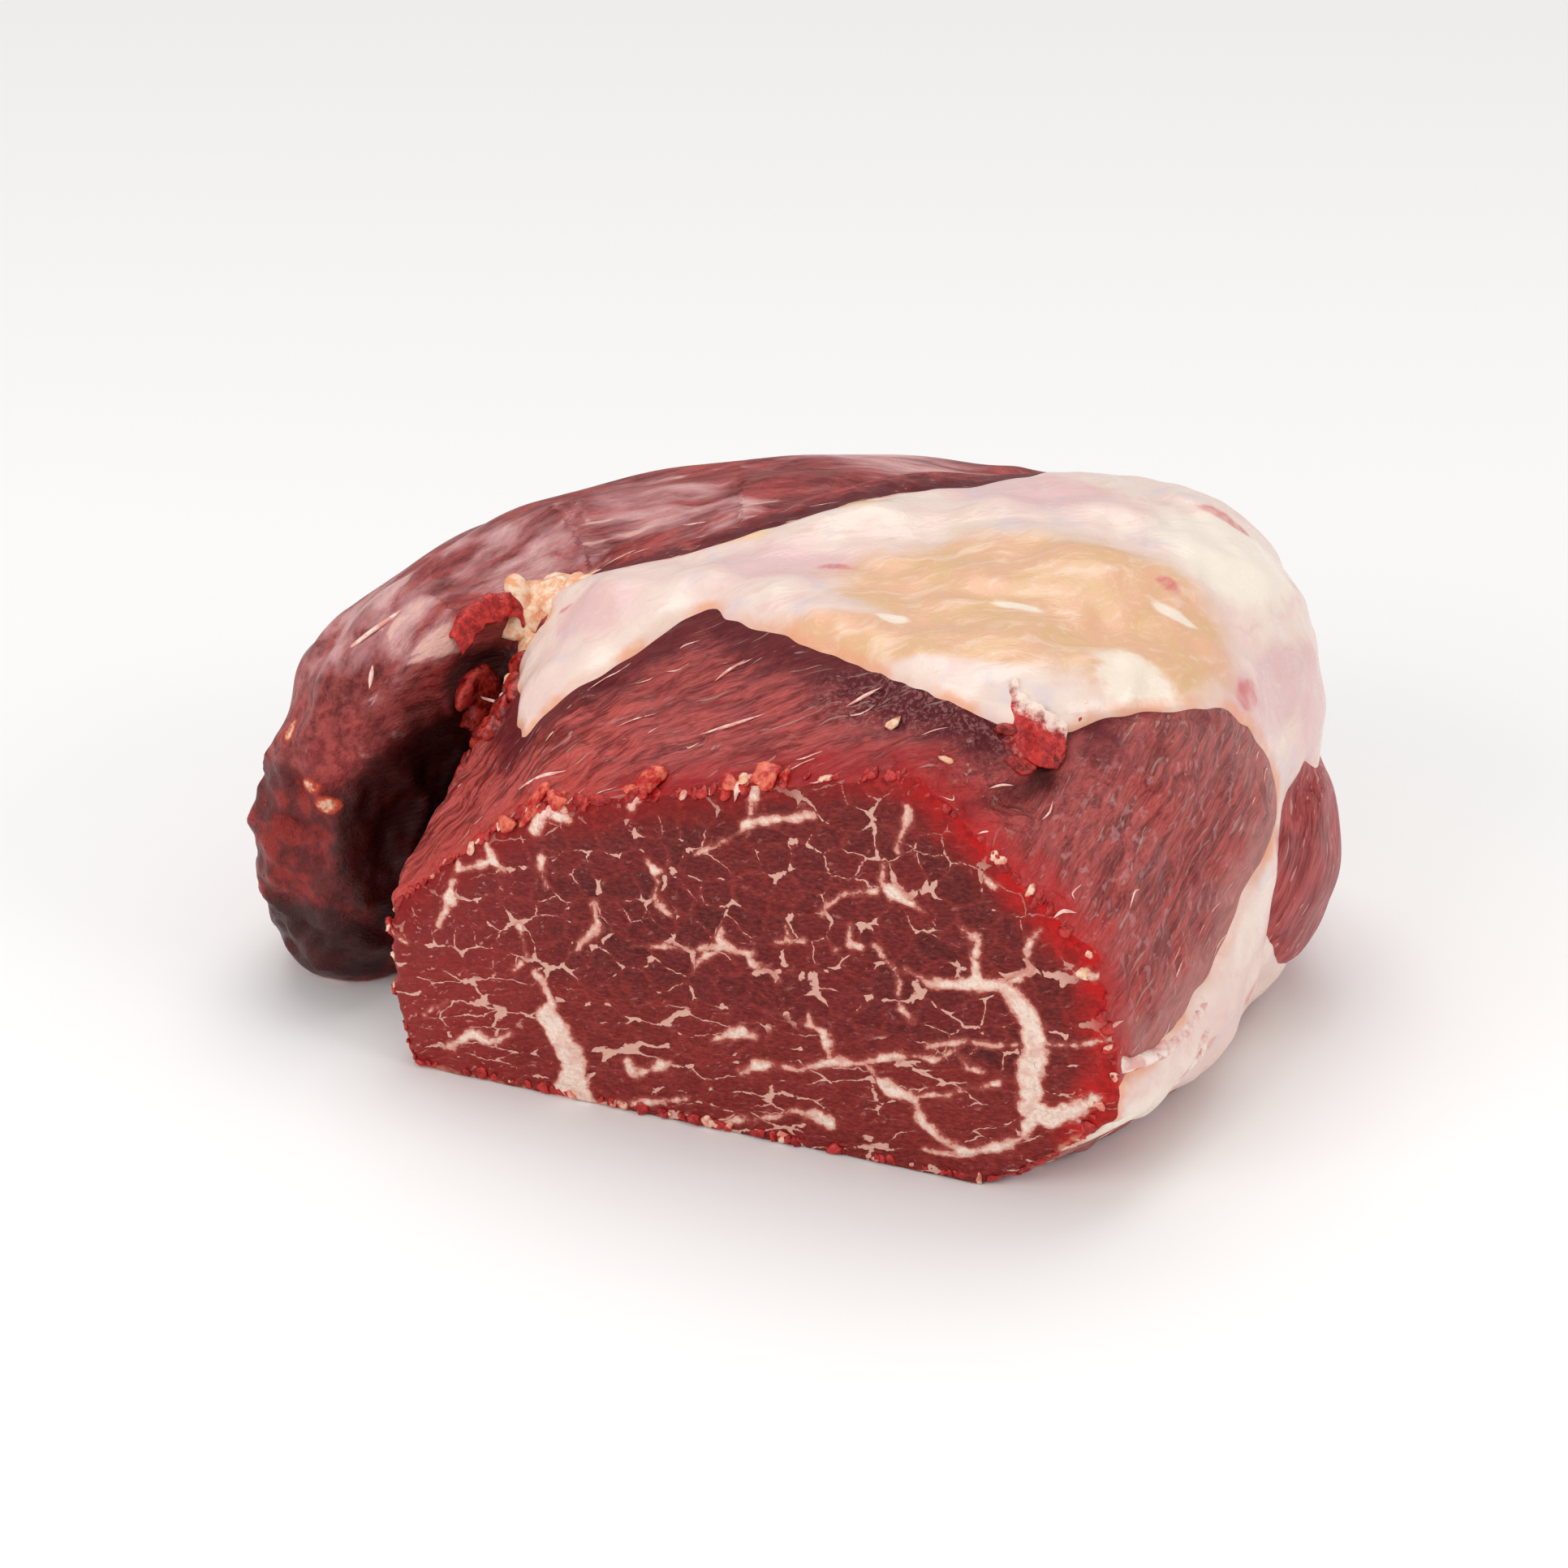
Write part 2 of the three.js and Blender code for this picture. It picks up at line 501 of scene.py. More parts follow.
SHINE = 0.018
CUT_WALL = 2.5
SEAM_RAISED = 0.28
BUNDLE_SWELL = 0.16
SEAMS = (
    # points along each seam, (x, z, width)
    ((39, 33, 0.8), (43, 31.5, 1.5), (48.5, 33, 2), (53, 33.5, 2.5), (56, 31, 3), (58, 28, 3.5),
     (58.5, 24, 3.8), (57.5, 19.5, 3.6), (58, 14.5, 3.8), (61, 13.5, 3.6), (64, 15, 3), (67.5, 18, 1.8)),
    ((49.5, 33.5, 2), (49, 37, 1.5), (49.5, 40, 1.4), (45.5, 42, 0.5)),
    ((54, 34, 1), (57.5, 36.5, 0.7), (56.5, 40, 0.6), (58.5, 43.5, 0.5)),
    ((60, 25.5, 0.9), (65, 26.5, 0.6), (70.5, 28.5, 0.4)),
    ((-21, 20.5, 0.7), (-19, 19, 1.6), (-18, 16, 1.6), (-19.5, 13.5, 2.4), (-17.5, 12, 4.2),
     (-15.5, 8.5, 4.2), (-14.5, 5, 4.6), (-15, 0, 7.5)),
    ((-37, 4, 0.5), (-35.5, 5, 1.2), (-31.5, 8, 1.9), (-29, 7, 1.6), (-25.5, 9, 1)),
    ((-40, 9.5, 0.7), (-36, 12.5, 0.6)),
    ((-5.5, 8.5, 1), (-4.5, 6.5, 1.6), (0, 9, 1.9), (1, 9.5, 0.8)),
    ((-11, 0, 0.6), (-2.5, 2, 0.9), (4, 4, 0.4)),
    ((13, 10.5, 0.6), (16, 12.5, 1.9), (18, 13, 0.7), (22, 13, 0.6), (27, 15.5, 1.9),
     (31.5, 16, 0.7), (36.5, 18.5, 1.1), (41, 19.5, 0.6), (43, 19, 0.7), (46.5, 21.5, 0.6),
     (48.5, 19, 1.1), (51, 19, 0.8)),
    ((33, 16, 0.6), (35, 14, 1.5), (37, 13, 3), (40.5, 12, 1.5), (41.5, 8.5, 1.4),
     (44, 6.5, 1.1), (48.5, 5, 1.6)),
    ((27, 16, 1.1), (26, 20.5, 1.6), (24, 21, 1.1), (23.5, 23, 0.4)),
    ((8, 15, 0.5), (10.5, 16.5, 1.1), (13, 17.5, 1.6), (15.5, 17, 1)),
    ((8.5, 1, 0.6), (17.5, 4, 0.7), (22, 6, 0.7), (25, 6, 1.6), (27, 5, 2.3), (28, 4.5, 1)),
    ((42, 4, 0.9), (47, 4, 1.1), (54.5, 7.5, 1.6), (57, 9.5, 1.6), (58.5, 13.5, 2)),
    ((13.5, 51.5, 1.6), (15, 52.5, 1.6), (19, 53.5, 1.4), (24, 55, 1)),
    ((13.5, 51, 1), (12, 49.5, 0.7), (9, 47.5, 0.5), (6, 45.5, 0.3)),
    ((14.5, 52.5, 1.2), (15, 55, 1.2), (15, 58, 2)),
    ((38.5, 58.5, 0.7), (38.5, 56.5, 1.2), (37.5, 54, 1.2), (37, 51.5, 0.5)),
    ((35, 49.5, 0.7), (35, 46, 1.6), (36.5, 45, 2), (39, 44, 1.5), (41, 43, 0.6)),
    ((34, 45, 1), (29.5, 43.5, 0.6), (27, 41.5, 0.5), (25.5, 39.5, 0.3)),
    ((18.5, 33.5, 0.5), (21, 34.5, 1.4), (23, 34.5, 0.5)),
    ((21, 34.5, 0.8), (20, 36.5, 0.3)),
    ((27.5, 34, 0.5), (30, 35.5, 1.4), (31.5, 35.5, 0.6)),
    ((30, 35.5, 0.9), (30, 38.5, 0.3)),
    ((10, 34.5, 0.5), (9.5, 32.5, 0.6), (11, 31, 1.4), (14.5, 31, 1)),
    ((10, 31, 0.8), (5, 30, 0.5), (-4.5, 28.5, 0.3)),
    ((14, 31, 0.8), (15, 29, 0.6), (18, 28.5, 0.5), (19, 27.5, 0.3)),
    ((9.5, 30.5, 0.6), (6.5, 28.5, 0.5), (5, 25.5, 0.3)),
    ((-1.5, 42.5, 0.6), (-0.5, 41.5, 1.6), (0.5, 42, 0.6)),
    ((0, 40, 0.5), (-0.5, 37.5, 1.4), (1, 35.5, 0.8), (2, 35, 0.5)),
    ((-10.5, 34, 1.4), (-10, 31, 1.5), (-11.5, 29, 1.2), (-13.5, 26, 0.8)),
    ((-19, 40, 1.6), (-19, 38.5, 0.6), (-18, 35.5, 0.5)),
    ((-23, 28, 1.1), (-22.5, 26.5, 0.8), (-22, 23, 0.5), (-24, 20.5, 0.4)),
    ((-28, 41, 0.5), (-27, 38.5, 1.9), (-25, 37, 0.7)),
    ((-28, 38, 0.9), (-31, 36.5, 0.7), (-33, 35.5, 0.6), (-33, 37, 0.4)),
    ((-34, 33.5, 0.9), (-34.5, 30.5, 2.4), (-33, 31, 0.7)),
    ((-35, 29, 0.8), (-37, 25.5, 0.4)),
    ((-20, 45, 1.9), (-18, 48, 1.9), (-14.5, 47.5, 1.4)),
    ((-4, 51, 1.1), (-3, 54, 1.1), (-1, 57, 0.8)),
    ((64, 37.5, 1), (65.5, 38, 1.9), (67, 37.5, 0.8)),
    ((50, 50, 0.5), (51.5, 49, 0.8)),
    ((-47, 23.5, 1.4), (-42.5, 21.5, 0.8)),
    ((34, 36, 0.4), (38, 31.5, 0.5), (37.5, 27, 0.5), (39.5, 24.5, 0.3)),
    ((42, 21, 0.4), (48, 23.5, 0.5), (52, 23.5, 0.5), (55.5, 24.5, 0.6)),
    ((40.5, 12.5, 0.5), (45.5, 14, 0.5), (49.5, 16, 0.5), (53, 17.5, 0.4)),
)
TOP_RIM = (
    (-50, 15), (-48, 23), (-33, 39), (-22, 47), (-6, 52), (15, 58), (24, 62), (37, 64),
    (46, 58), (60, 46), (67, 39), (70, 22), (66, 12),
)
LOW_RIM = ((-50, 15), (-44, 0), (0, -1), (54, -1), (66, 12))


def paint(red, green, blue):
    """A colour as it is seen, 0 to 255, for a shader socket."""
    linear = [(level / 255 / 12.92) if level < 10.3 else ((level / 255 + 0.055) / 1.055) ** 2.4
              for level in (red, green, blue)]
    return (*linear, 1)


def flesh(red, green, blue):
    """A colour of wet meat as it is seen, less what its shine adds to it."""
    return (*(max(level - SHINE, 0.002) for level in paint(red, green, blue)[:3]), 1)


def plug(tree, node, sockets):
    """Sets each socket of a shader node to a value, or links it to another node."""
    for key, value in sockets.items():
        if isinstance(value, bpy.types.NodeSocket):
            tree.links.new(value, node.inputs[key])
        else:
            node.inputs[key].default_value = value


def put(tree, kind, sockets, **settings):
    """Adds a shader node to a tree."""
    made = tree.nodes.new("ShaderNode" + kind)
    for key, value in settings.items():
        setattr(made, key, value)
    plug(tree, made, sockets)
    return made


def calc(tree, operation, *values):
    return put(tree, "Math", dict(enumerate(values)), operation=operation).outputs[0]


def blend(tree, share, first, second):
    """The first colour where the share is 0, and the second where it is 1."""
    return put(tree, "Mix", {0: share, 6: first, 7: second}, data_type="RGBA").outputs[2]


def tint(tree, base, colour, mask, share):
    """Lays a colour over another where a mask is, at most by a share."""
    return blend(tree, calc(tree, "MULTIPLY", mask, share), base, colour)


def fibred(tree, base, fibres, deep, pale, between=0.4, on=0.3):
    """Deepens a colour between its fibres and pales it along them."""
    return blend(tree, fibres, blend(tree, between, base, deep), blend(tree, on, base, pale))


def ramp(tree, value, low, high, start=0.0, end=1.0):
    """A soft step from start, where the value is low, to end, where it is high."""
    sockets = {0: value, 1: low, 2: high, 3: start, 4: end}
    return put(tree, "MapRange", sockets, interpolation_type="SMOOTHSTEP").outputs[0]


def noise(tree, vector, size, detail=2.0, roughness=0.5, output="Fac"):
    """Uneven lumps of about a size, round one half."""
    sockets = {"Vector": vector, "Scale": 1 / size, "Detail": detail, "Roughness": roughness}
    return put(tree, "TexNoise", sockets).outputs[output]


def mark(tree, name, output="Fac"):
    """What the mesh says of each point under a name."""
    return put(tree, "Attribute", {}, attribute_name=name).outputs[output]


def uneven(tree, name, lumps, amount):
    """A mark of the mesh with its edge made uneven by lumps."""
    return calc(tree, "MULTIPLY_ADD", lumps, amount, mark(tree, name))


def in_mm(tree):
    place = tree.nodes.new("ShaderNodeTexCoord").outputs["Object"]
    return put(tree, "Mapping", {"Vector": place, "Scale": (TO_MM,) * 3}).outputs[0]


def laid(tree, vector, along, size=(1, 1, 1)):
    """A pattern's own space: its X lies along a direction, and it is stretched by size."""
    turn = Vector(along).to_track_quat("X", "Z").to_euler()
    sockets = {"Vector": vector, "Rotation": turn, "Scale": size}
    return put(tree, "Mapping", sockets, vector_type="TEXTURE").outputs[0]


def warped(tree, vector, size, amount):
    """Shakes a pattern's space by up to about amount, in lumps of a size."""
    shake = noise(tree, vector, size, detail=1.5, output="Color")
    centred = put(tree, "VectorMath", {0: shake, 1: (0.5, 0.5, 0.5)}, operation="SUBTRACT")
    moved = put(tree, "VectorMath", {0: centred.outputs[0], 1: (amount * 2,) * 3, 2: vector},
                operation="MULTIPLY_ADD")
    return moved.outputs[0]


def surface(name):
    """A new material and its node tree."""
    made = bpy.data.materials.new(name)
    made.use_nodes = True
    return made, made.node_tree


def coat(tree, colour, roughness, height, depth, gloss=0.2):
    """Gives a material its looks, and a fine relief that is depth mm high where the height is 1."""
    bump = put(tree, "Bump", {"Height": height, "Distance": depth / TO_MM, "Strength": 1.0})
    plug(tree, tree.nodes["Principled BSDF"], {
        "Base Color": colour, "Roughness": roughness, "Normal": bump.outputs[0],
        "Specular IOR Level": gloss,
    })


def group(name, inputs, outputs):
    """An empty shader node group: its tree, what it is given, and the node for its results."""
    made = bpy.data.node_groups.new(name, "ShaderNodeTree")
    for direction, sockets in (("INPUT", inputs), ("OUTPUT", outputs)):
        for socket, kind in sockets.items():
            made.interface.new_socket(socket, in_out=direction, socket_type="NodeSocket" + kind)
    return made, made.nodes.new("NodeGroupInput").outputs, made.nodes.new("NodeGroupOutput")


def use(tree, made, **sockets):
    return put(tree, "Group", sockets, node_tree=made).outputs


def from_lines(points, lines):
    """The distance in mm to the nearest of some tapering lines, negative within them."""
    best = np.full(len(points), 99.0)
    for line in lines:
        line = np.asarray(line, float)
        for first, second in zip(line[:-1], line[1:]):
            part, away = beside(points, first[:2], second[:2])
            width = first[2] + (second[2] - first[2]) * part
            best = np.minimum(best, np.linalg.norm(away, axis=1) - width / 2)
    return best


def thin(line):
    """A line with no width."""
    return [(*point, 0) for point in line]


def bundle_net():
    """The fine net of fat between fibre bundles. Its space is measured in bundles."""
    tree, given, result = group(
        "bundle net", {"Vector": "Vector", "Width": "Float"},
        {"Line": "Float", "Tone": "Float", "Border": "Float"},
    )
    cells = {"Vector": given["Vector"], "Scale": 1.0, "Randomness": 1.0}
    edge, cell = (
        put(tree, "TexVoronoi", cells, voronoi_dimensions="2D", feature=feature)
        for feature in ("DISTANCE_TO_EDGE", "F1")
    )
    edge = edge.outputs["Distance"]
    corner = ramp(tree, cell.outputs["Distance"], 0.52, 0.8)
    star = ramp(tree, noise(tree, given["Vector"], 0.9, detail=1), 0.5, 0.6)
    line = ramp(tree, noise(tree, laid(tree, given["Vector"], (0, 0, 1)), 1.9, detail=1), 0.42, 0.62)
    ragged = noise(tree, given["Vector"], 0.16, detail=2)
    wide = calc(tree, "MULTIPLY", calc(tree, "MULTIPLY", corner, star), 5.5)
    wide = calc(tree, "ADD", wide, calc(tree, "MULTIPLY", line, 0.8))
    wide = calc(tree, "MULTIPLY", wide, calc(tree, "MULTIPLY_ADD", ragged, 2.4, -0.2))
    wide = calc(tree, "MULTIPLY_ADD", wide, given["Width"], 0.001)
    shown = ramp(tree, calc(tree, "DIVIDE", edge, wide), 1.3, 0.5)
    plug(tree, result, {
        "Line": calc(tree, "MULTIPLY", shown, ramp(tree, wide, 0.006, 0.03)),
        "Tone": put(tree, "SeparateColor", {"Color": cell.outputs["Color"]}).outputs[0],
        "Border": ramp(tree, edge, 0.17, 0.0),
    })
    return tree


NET = bundle_net()


def cut_flesh():
    made, tree = surface("cut flesh")
    sockets = {"Vector": in_mm(tree), "Rotation": (-math.pi / 2, 0, 0)}
    flat = put(tree, "Mapping", sockets).outputs[0]
    side, high, _ = put(tree, "SeparateXYZ", {"Vector": flat}).outputs
    shaken = warped(tree, warped(tree, flat, 6.0, 1.6), 1.1, 0.45)
    round_net = use(tree, NET, Vector=laid(tree, shaken, (1, 0.2, 0), (4.9, 4.1, 1)), Width=0.034)
    long_net = use(tree, NET, Vector=laid(tree, shaken, (1, 0.16, 0), (8.5, 2.7, 1)), Width=0.052)
    low = ramp(tree, calc(tree, "MULTIPLY_ADD", noise(tree, flat, 9), 14.0, high), 29.0, 25.0)
    net, tone, border = (
        blend(tree, low, round_net[key], long_net[key]) for key in ("Line", "Tone", "Border")
    )
    grain = noise(tree, laid(tree, flat, (1, 0.1, 0), (0.9, 0.4, 1)), 1.0, detail=4, roughness=0.65)
    cloud = noise(tree, flat, 13.0, detail=2)

    dark = blend(tree, tone, flesh(86, 33, 39), flesh(118, 44, 46))
    dark = tint(tree, dark, flesh(132, 46, 46), ramp(tree, cloud, 0.38, 0.72), 0.55)
    dark = tint(tree, dark, flesh(152, 54, 50), low, 0.5)
    dark = tint(tree, dark, flesh(166, 66, 62), border, 0.4)
    dark = fibred(tree, dark, ramp(tree, grain, 0.34, 0.68), flesh(68, 20, 28), flesh(180, 80, 72),
                  on=0.26)
    left = ramp(tree, calc(tree, "MULTIPLY_ADD", noise(tree, flat, 8), 16.0, side), -6.0, -26.0)
    dark = tint(tree, dark, flesh(162, 56, 56), left, 0.35)
    speck = noise(tree, laid(tree, shaken, (1, 0.4, 0), (1.7, 0.8, 1)), 1.0, 3, 0.6)
    speck = ramp(tree, speck, 0.6, 0.72)
    share = calc(tree, "MULTIPLY_ADD", left, 0.55, 0.25)
    dark = tint(tree, dark, flesh(222, 156, 146), speck, share)

    # painted light: a red band along the edge, brighter towards the right, stands for light shining
    # through the thin meat
    wavy = uneven(tree, "rim", noise(tree, flat, 4.5, detail=4, roughness=0.6), 6.0)
    red = ramp(tree, wavy, 9.5, 3.0)
    glow = blend(tree, ramp(tree, side, 20.0, 58.0), flesh(138, 26, 31), flesh(198, 42, 42))
    fleck = ramp(tree, noise(tree, flat, 1.8, 4, 0.65), 0.44, 0.6)
    glow = tint(tree, glow, flesh(140, 30, 34), fleck, 0.7)
    dark = tint(tree, dark, glow, red, 0.92)
    mottle = ramp(tree, noise(tree, flat, 1.6, 4, 0.65), 0.5, 0.68)
    dark = tint(tree, dark, flesh(222, 76, 70), calc(tree, "MULTIPLY", red, mottle), 0.3)

    pink = blend(tree, ramp(tree, net, 0.45, 1.0), flesh(170, 84, 78), flesh(222, 172, 156))
    net = calc(tree, "MULTIPLY", net, calc(tree, "MULTIPLY_ADD", red, -0.8, 1.0))
    meat = blend(tree, net, dark, pink)

    ragged = calc(tree, "MULTIPLY_ADD", noise(tree, flat, 1.5, detail=4, roughness=0.65), 1.9, -0.9)
    wider = calc(tree, "MULTIPLY_ADD", noise(tree, flat, 3.4, detail=2), 2.2, -1.1)
    seam = calc(tree, "ADD", calc(tree, "ADD", mark(tree, "seam"), ragged), wider)
    halo = ramp(tree, seam, 0.7, 0.0)
    meat = tint(tree, meat, flesh(190, 98, 88), halo, 0.5)
    crumbs = noise(tree, flat, 0.55, detail=3, roughness=0.6)
    fat = blend(tree, ramp(tree, crumbs, 0.3, 0.62), flesh(236, 198, 180), flesh(247, 226, 212))
    fat = tint(tree, fat, flesh(222, 160, 146), ramp(tree, noise(tree, flat, 2.6, 3), 0.5, 0.66), 0.45)
    fat = blend(tree, ramp(tree, seam, -0.1, -0.7), flesh(222, 158, 142), fat)
    meat = blend(tree, ramp(tree, seam, 0.14, -0.18), meat, fat)

    fringe = uneven(tree, "bottom", noise(tree, flat, 2.2, detail=3), 2.8)
    edge = blend(tree, noise(tree, flat, 1.2), flesh(204, 84, 72), flesh(242, 190, 160))
    meat = tint(tree, meat, edge, ramp(tree, fringe, 2.4, 1.3), 0.8)

    wet = noise(tree, flat, 3.0, detail=3)
    height = calc(tree, "MULTIPLY_ADD", net, 0.3, calc(tree, "MULTIPLY", grain, 0.6))
    height = calc(tree, "MULTIPLY_ADD", border, -0.3, height)
    height = calc(tree, "MULTIPLY_ADD", crumbs, 0.25, height)
    coat(tree, meat, ramp(tree, wet, 0.3, 0.7, 0.32, 0.5), height, 0.35)
    return made


def cut_face():
    bm = patch(CUT)
    bmesh.ops.subdivide_edges(bm, edges=bm.edges, cuts=1, use_grid_fill=True)
    at = places(bm)
    flat = at[:, (0, 2)]
    seam = from_lines(flat, SEAMS)
    rim = from_lines(flat, [thin(TOP_RIM)])
    bottom = from_lines(flat, [thin(LOW_RIM)])
    border = from_border(bm)
    raised = SEAM_RAISED * smoothstep(seam, 0.5, -0.5) + BUNDLE_SWELL * waves(at, (3.5, 7), 21)
    push(bm, raised * smoothstep(border, 0, 1.5))
    finished(bm, "cut_face", cut_flesh(), CUT_WALL,
             {"seam": seam, "rim": rim, "bottom": bottom})


cut_face()


# ---------- the trimmed side ----------
# Where the knife took the fat off the eye muscle its outside shows: dull, dry, fine-grained flesh
# with pale hairs of tissue, redder at the cut edge and filmed over with silverskin on the right.
# A crease runs down from the torn flap, between the two muscle heads that meet there.

TRIMMED_WALL = 2.5
ROUND_CENTRE = (16, 22)
LEFT_GRAIN = (0.62, 0.6, 0.5)
TOP_GRAIN = (0.88, 0.33, 0.34)
RIGHT_GRAIN = (0.12, 0.88, 0.45)
CREASE = (
    # (x, y, z, depth, half width)
    (49, -44, 67.5, 0.8, 1.6), (54, -45.5, 62.5, 1.9, 1.8), (54.6, -48.3, 60.2, 2.6, 2.2),
    (52, -53, 59.2, 1.7, 1.8), (46, -59.5, 59, 0.7, 1.6),
)
# each patch has a place, and half sizes along x, y and z
SHOULDER = ((65, -40, 60), (13, 13, 12))
RAW_PATCH = ((51, -46, 65), (5, 4, 4))
CRUST = ((36, -47, 68), (22, 7, 7))
SHOULDER_RISE = 1.3
COARSE_ROUGH = 0.25
FINE_ROUGH = 0.1
CRUST_ROUGH = 0.25


def muscle_grain():
    """Flesh seen along its fibres: strands, fine threads and a few pale hairs, along X."""
    tree, given, result = group(
        "muscle grain", {"Vector": "Vector"},
        {"Strand": "Float", "Thread": "Float", "Hair": "Float"},
    )
    space = warped(tree, given["Vector"], 9.0, 1.2)
    strand = noise(tree, laid(tree, space, (1, 0, 0), (11, 1.5, 1.5)), 1.0, 3, 0.6)
    thread = noise(tree, laid(tree, space, (1, 0, 0), (3.5, 0.34, 0.34)), 1.0, 4, 0.65)
    space = warped(tree, given["Vector"], 18.0, 4.0)
    hair = noise(tree, laid(tree, space, (1, 0, 0), (13, 0.8, 0.8)), 1.0, 1, 0.4)
    plug(tree, result, {"Strand": strand, "Thread": thread, "Hair": ramp(tree, hair, 0.66, 0.73)})
    return tree


GRAIN = muscle_grain()


def trimmed_flesh():
    made, tree = surface("trimmed flesh")
    mm = in_mm(tree)
    wander = calc(tree, "MULTIPLY_ADD", noise(tree, mm, 7.0, detail=3), 0.5, -0.25)
    turn = calc(tree, "ADD", mark(tree, "round"), wander)
    right = ramp(tree, turn, 0.72, 0.95)
    left = ramp(tree, turn, -0.5, -0.8)
    grains = [use(tree, GRAIN, Vector=laid(tree, mm, along))
              for along in (TOP_GRAIN, RIGHT_GRAIN, LEFT_GRAIN)]
    strand, thread, hair = (
        blend(tree, left, blend(tree, right, grains[0][key], grains[1][key]), grains[2][key])
        for key in ("Strand", "Thread", "Hair")
    )
    cloud = noise(tree, mm, 11.0, detail=3)
    fine = noise(tree, mm, 0.8, detail=4, roughness=0.7)

    lower = ramp(tree, turn, 1.15, 1.6)
    base = blend(tree, lower, flesh(156, 88, 89), flesh(176, 64, 63))
    base = blend(tree, right, flesh(158, 74, 77), base)
    base = blend(tree, left, base, flesh(182, 60, 55))
    base = tint(tree, base, flesh(166, 62, 62), ramp(tree, cloud, 0.42, 0.68), 0.8)
    streaks = ramp(tree, strand, 0.4, 0.6)
    vivid = calc(tree, "MULTIPLY_ADD", left, 0.25, 0.5)
    base = tint(tree, base, flesh(92, 26, 34), calc(tree, "SUBTRACT", 1.0, streaks), vivid)
    base = tint(tree, base, flesh(212, 100, 95), streaks, vivid)
    base = fibred(tree, base, ramp(tree, thread, 0.36, 0.66), flesh(84, 26, 34), flesh(216, 120, 112),
                  between=0.3, on=0.26)
    space = laid(tree, warped(tree, mm, 12.0, 3.0), (0.5, 0.2, 0.85), (9, 1.4, 1.4))
    scratch = calc(tree, "MULTIPLY", ramp(tree, noise(tree, space, 1.0), 0.58, 0.68), right)
    base = tint(tree, base, flesh(206, 160, 160), scratch, 0.35)
    dark = uneven(tree, "fat edge", noise(tree, mm, 4.0, detail=4, roughness=0.6), -9.0)
    dark = calc(tree, "MULTIPLY", ramp(tree, dark, 3.4, -2.1), calc(tree, "SUBTRACT", 1.0, right))
    base = tint(tree, base, flesh(92, 38, 44), dark, 0.85)
    film = uneven(tree, "fat edge", noise(tree, mm, 5.0, detail=3), 9.0)
    film = calc(tree, "MULTIPLY", ramp(tree, film, 13.0, 5.0), ramp(tree, turn, 0.8, 1.3))
    base = tint(tree, base, flesh(198, 150, 144), film, 0.5)
    red = uneven(tree, "rim", noise(tree, mm, 5.5, detail=4, roughness=0.65), 14.0)
    edge = blend(tree, ramp(tree, turn, 0.4, 0.9), flesh(176, 46, 50), flesh(198, 54, 54))
    edge = blend(tree, left, edge, flesh(204, 84, 78))
    edge = tint(tree, edge, flesh(146, 44, 46), ramp(tree, fine, 0.45, 0.6), 0.45)
    base = tint(tree, base, edge, ramp(tree, red, 16.0, 7.0), 0.85)
    crust = calc(tree, "MULTIPLY", mark(tree, "crust"), ramp(tree, fine, 0.48, 0.6))
    base = tint(tree, base, flesh(88, 40, 48), mark(tree, "crust"), 0.35)
    base = tint(tree, base, flesh(206, 140, 138), crust, 0.4)
    raw = uneven(tree, "raw", noise(tree, mm, 2.5, 4, 0.6), 1.0)
    fresh = blend(tree, ramp(tree, fine, 0.4, 0.62), flesh(170, 34, 38), flesh(226, 120, 112))
    base = tint(tree, base, fresh, ramp(tree, raw, 0.85, 1.3), 0.8)
    base = tint(tree, base, flesh(232, 190, 178), hair, 0.3)
    # painted shade: flesh deep in the cleft, which sees little open air, is darkened nearly to black
    base = tint(tree, base, flesh(44, 18, 20), ramp(tree, mark(tree, "open"), 0.5, 0.12), 0.9)
    # painted shade in the crease
    base = tint(tree, base, flesh(58, 26, 30), mark(tree, "crease_shade"), 0.75)
    height = calc(tree, "MULTIPLY_ADD", strand, 0.9, calc(tree, "MULTIPLY", thread, 0.5))
    height = calc(tree, "MULTIPLY_ADD", calc(tree, "MULTIPLY", mark(tree, "crust"), fine), 1.2, height)
    height = calc(tree, "MULTIPLY_ADD", hair, 0.35, height)
    coat(tree, base, ramp(tree, cloud, 0.3, 0.7, 0.34, 0.5), height, 0.6)
    return made


def from_crease(at):
    """How far the crease presses in at each point, in mm, and how much of it is there, 0 to 1."""
    press = np.zeros(len(at))
    cover = np.zeros(len(at))
    crease = np.array(CREASE, float)
    deepest = crease[:, 3].max()
    for first, second in zip(crease[:-1], crease[1:]):
        part, away = beside(at, first[:3], second[:3])
        depth, half = (first[i] + (second[i] - first[i]) * part for i in (3, 4))
        shape = np.exp(-(np.linalg.norm(away, axis=1) / half) ** 2)
        press = np.maximum(press, depth * shape)
        cover = np.maximum(cover, shape * depth / deepest)
    return press, cover


def spots(at, places_and_sizes):
    """How much of any spot covers each point, 1 in a spot's middle and 0 outside it."""
    cover = np.zeros(len(at))
    for middle, half in places_and_sizes:
        away = np.linalg.norm((at - np.array(middle)) / np.array(half), axis=1)
        cover = np.maximum(cover, smoothstep(away, 1.3, 0.5))
    return cover


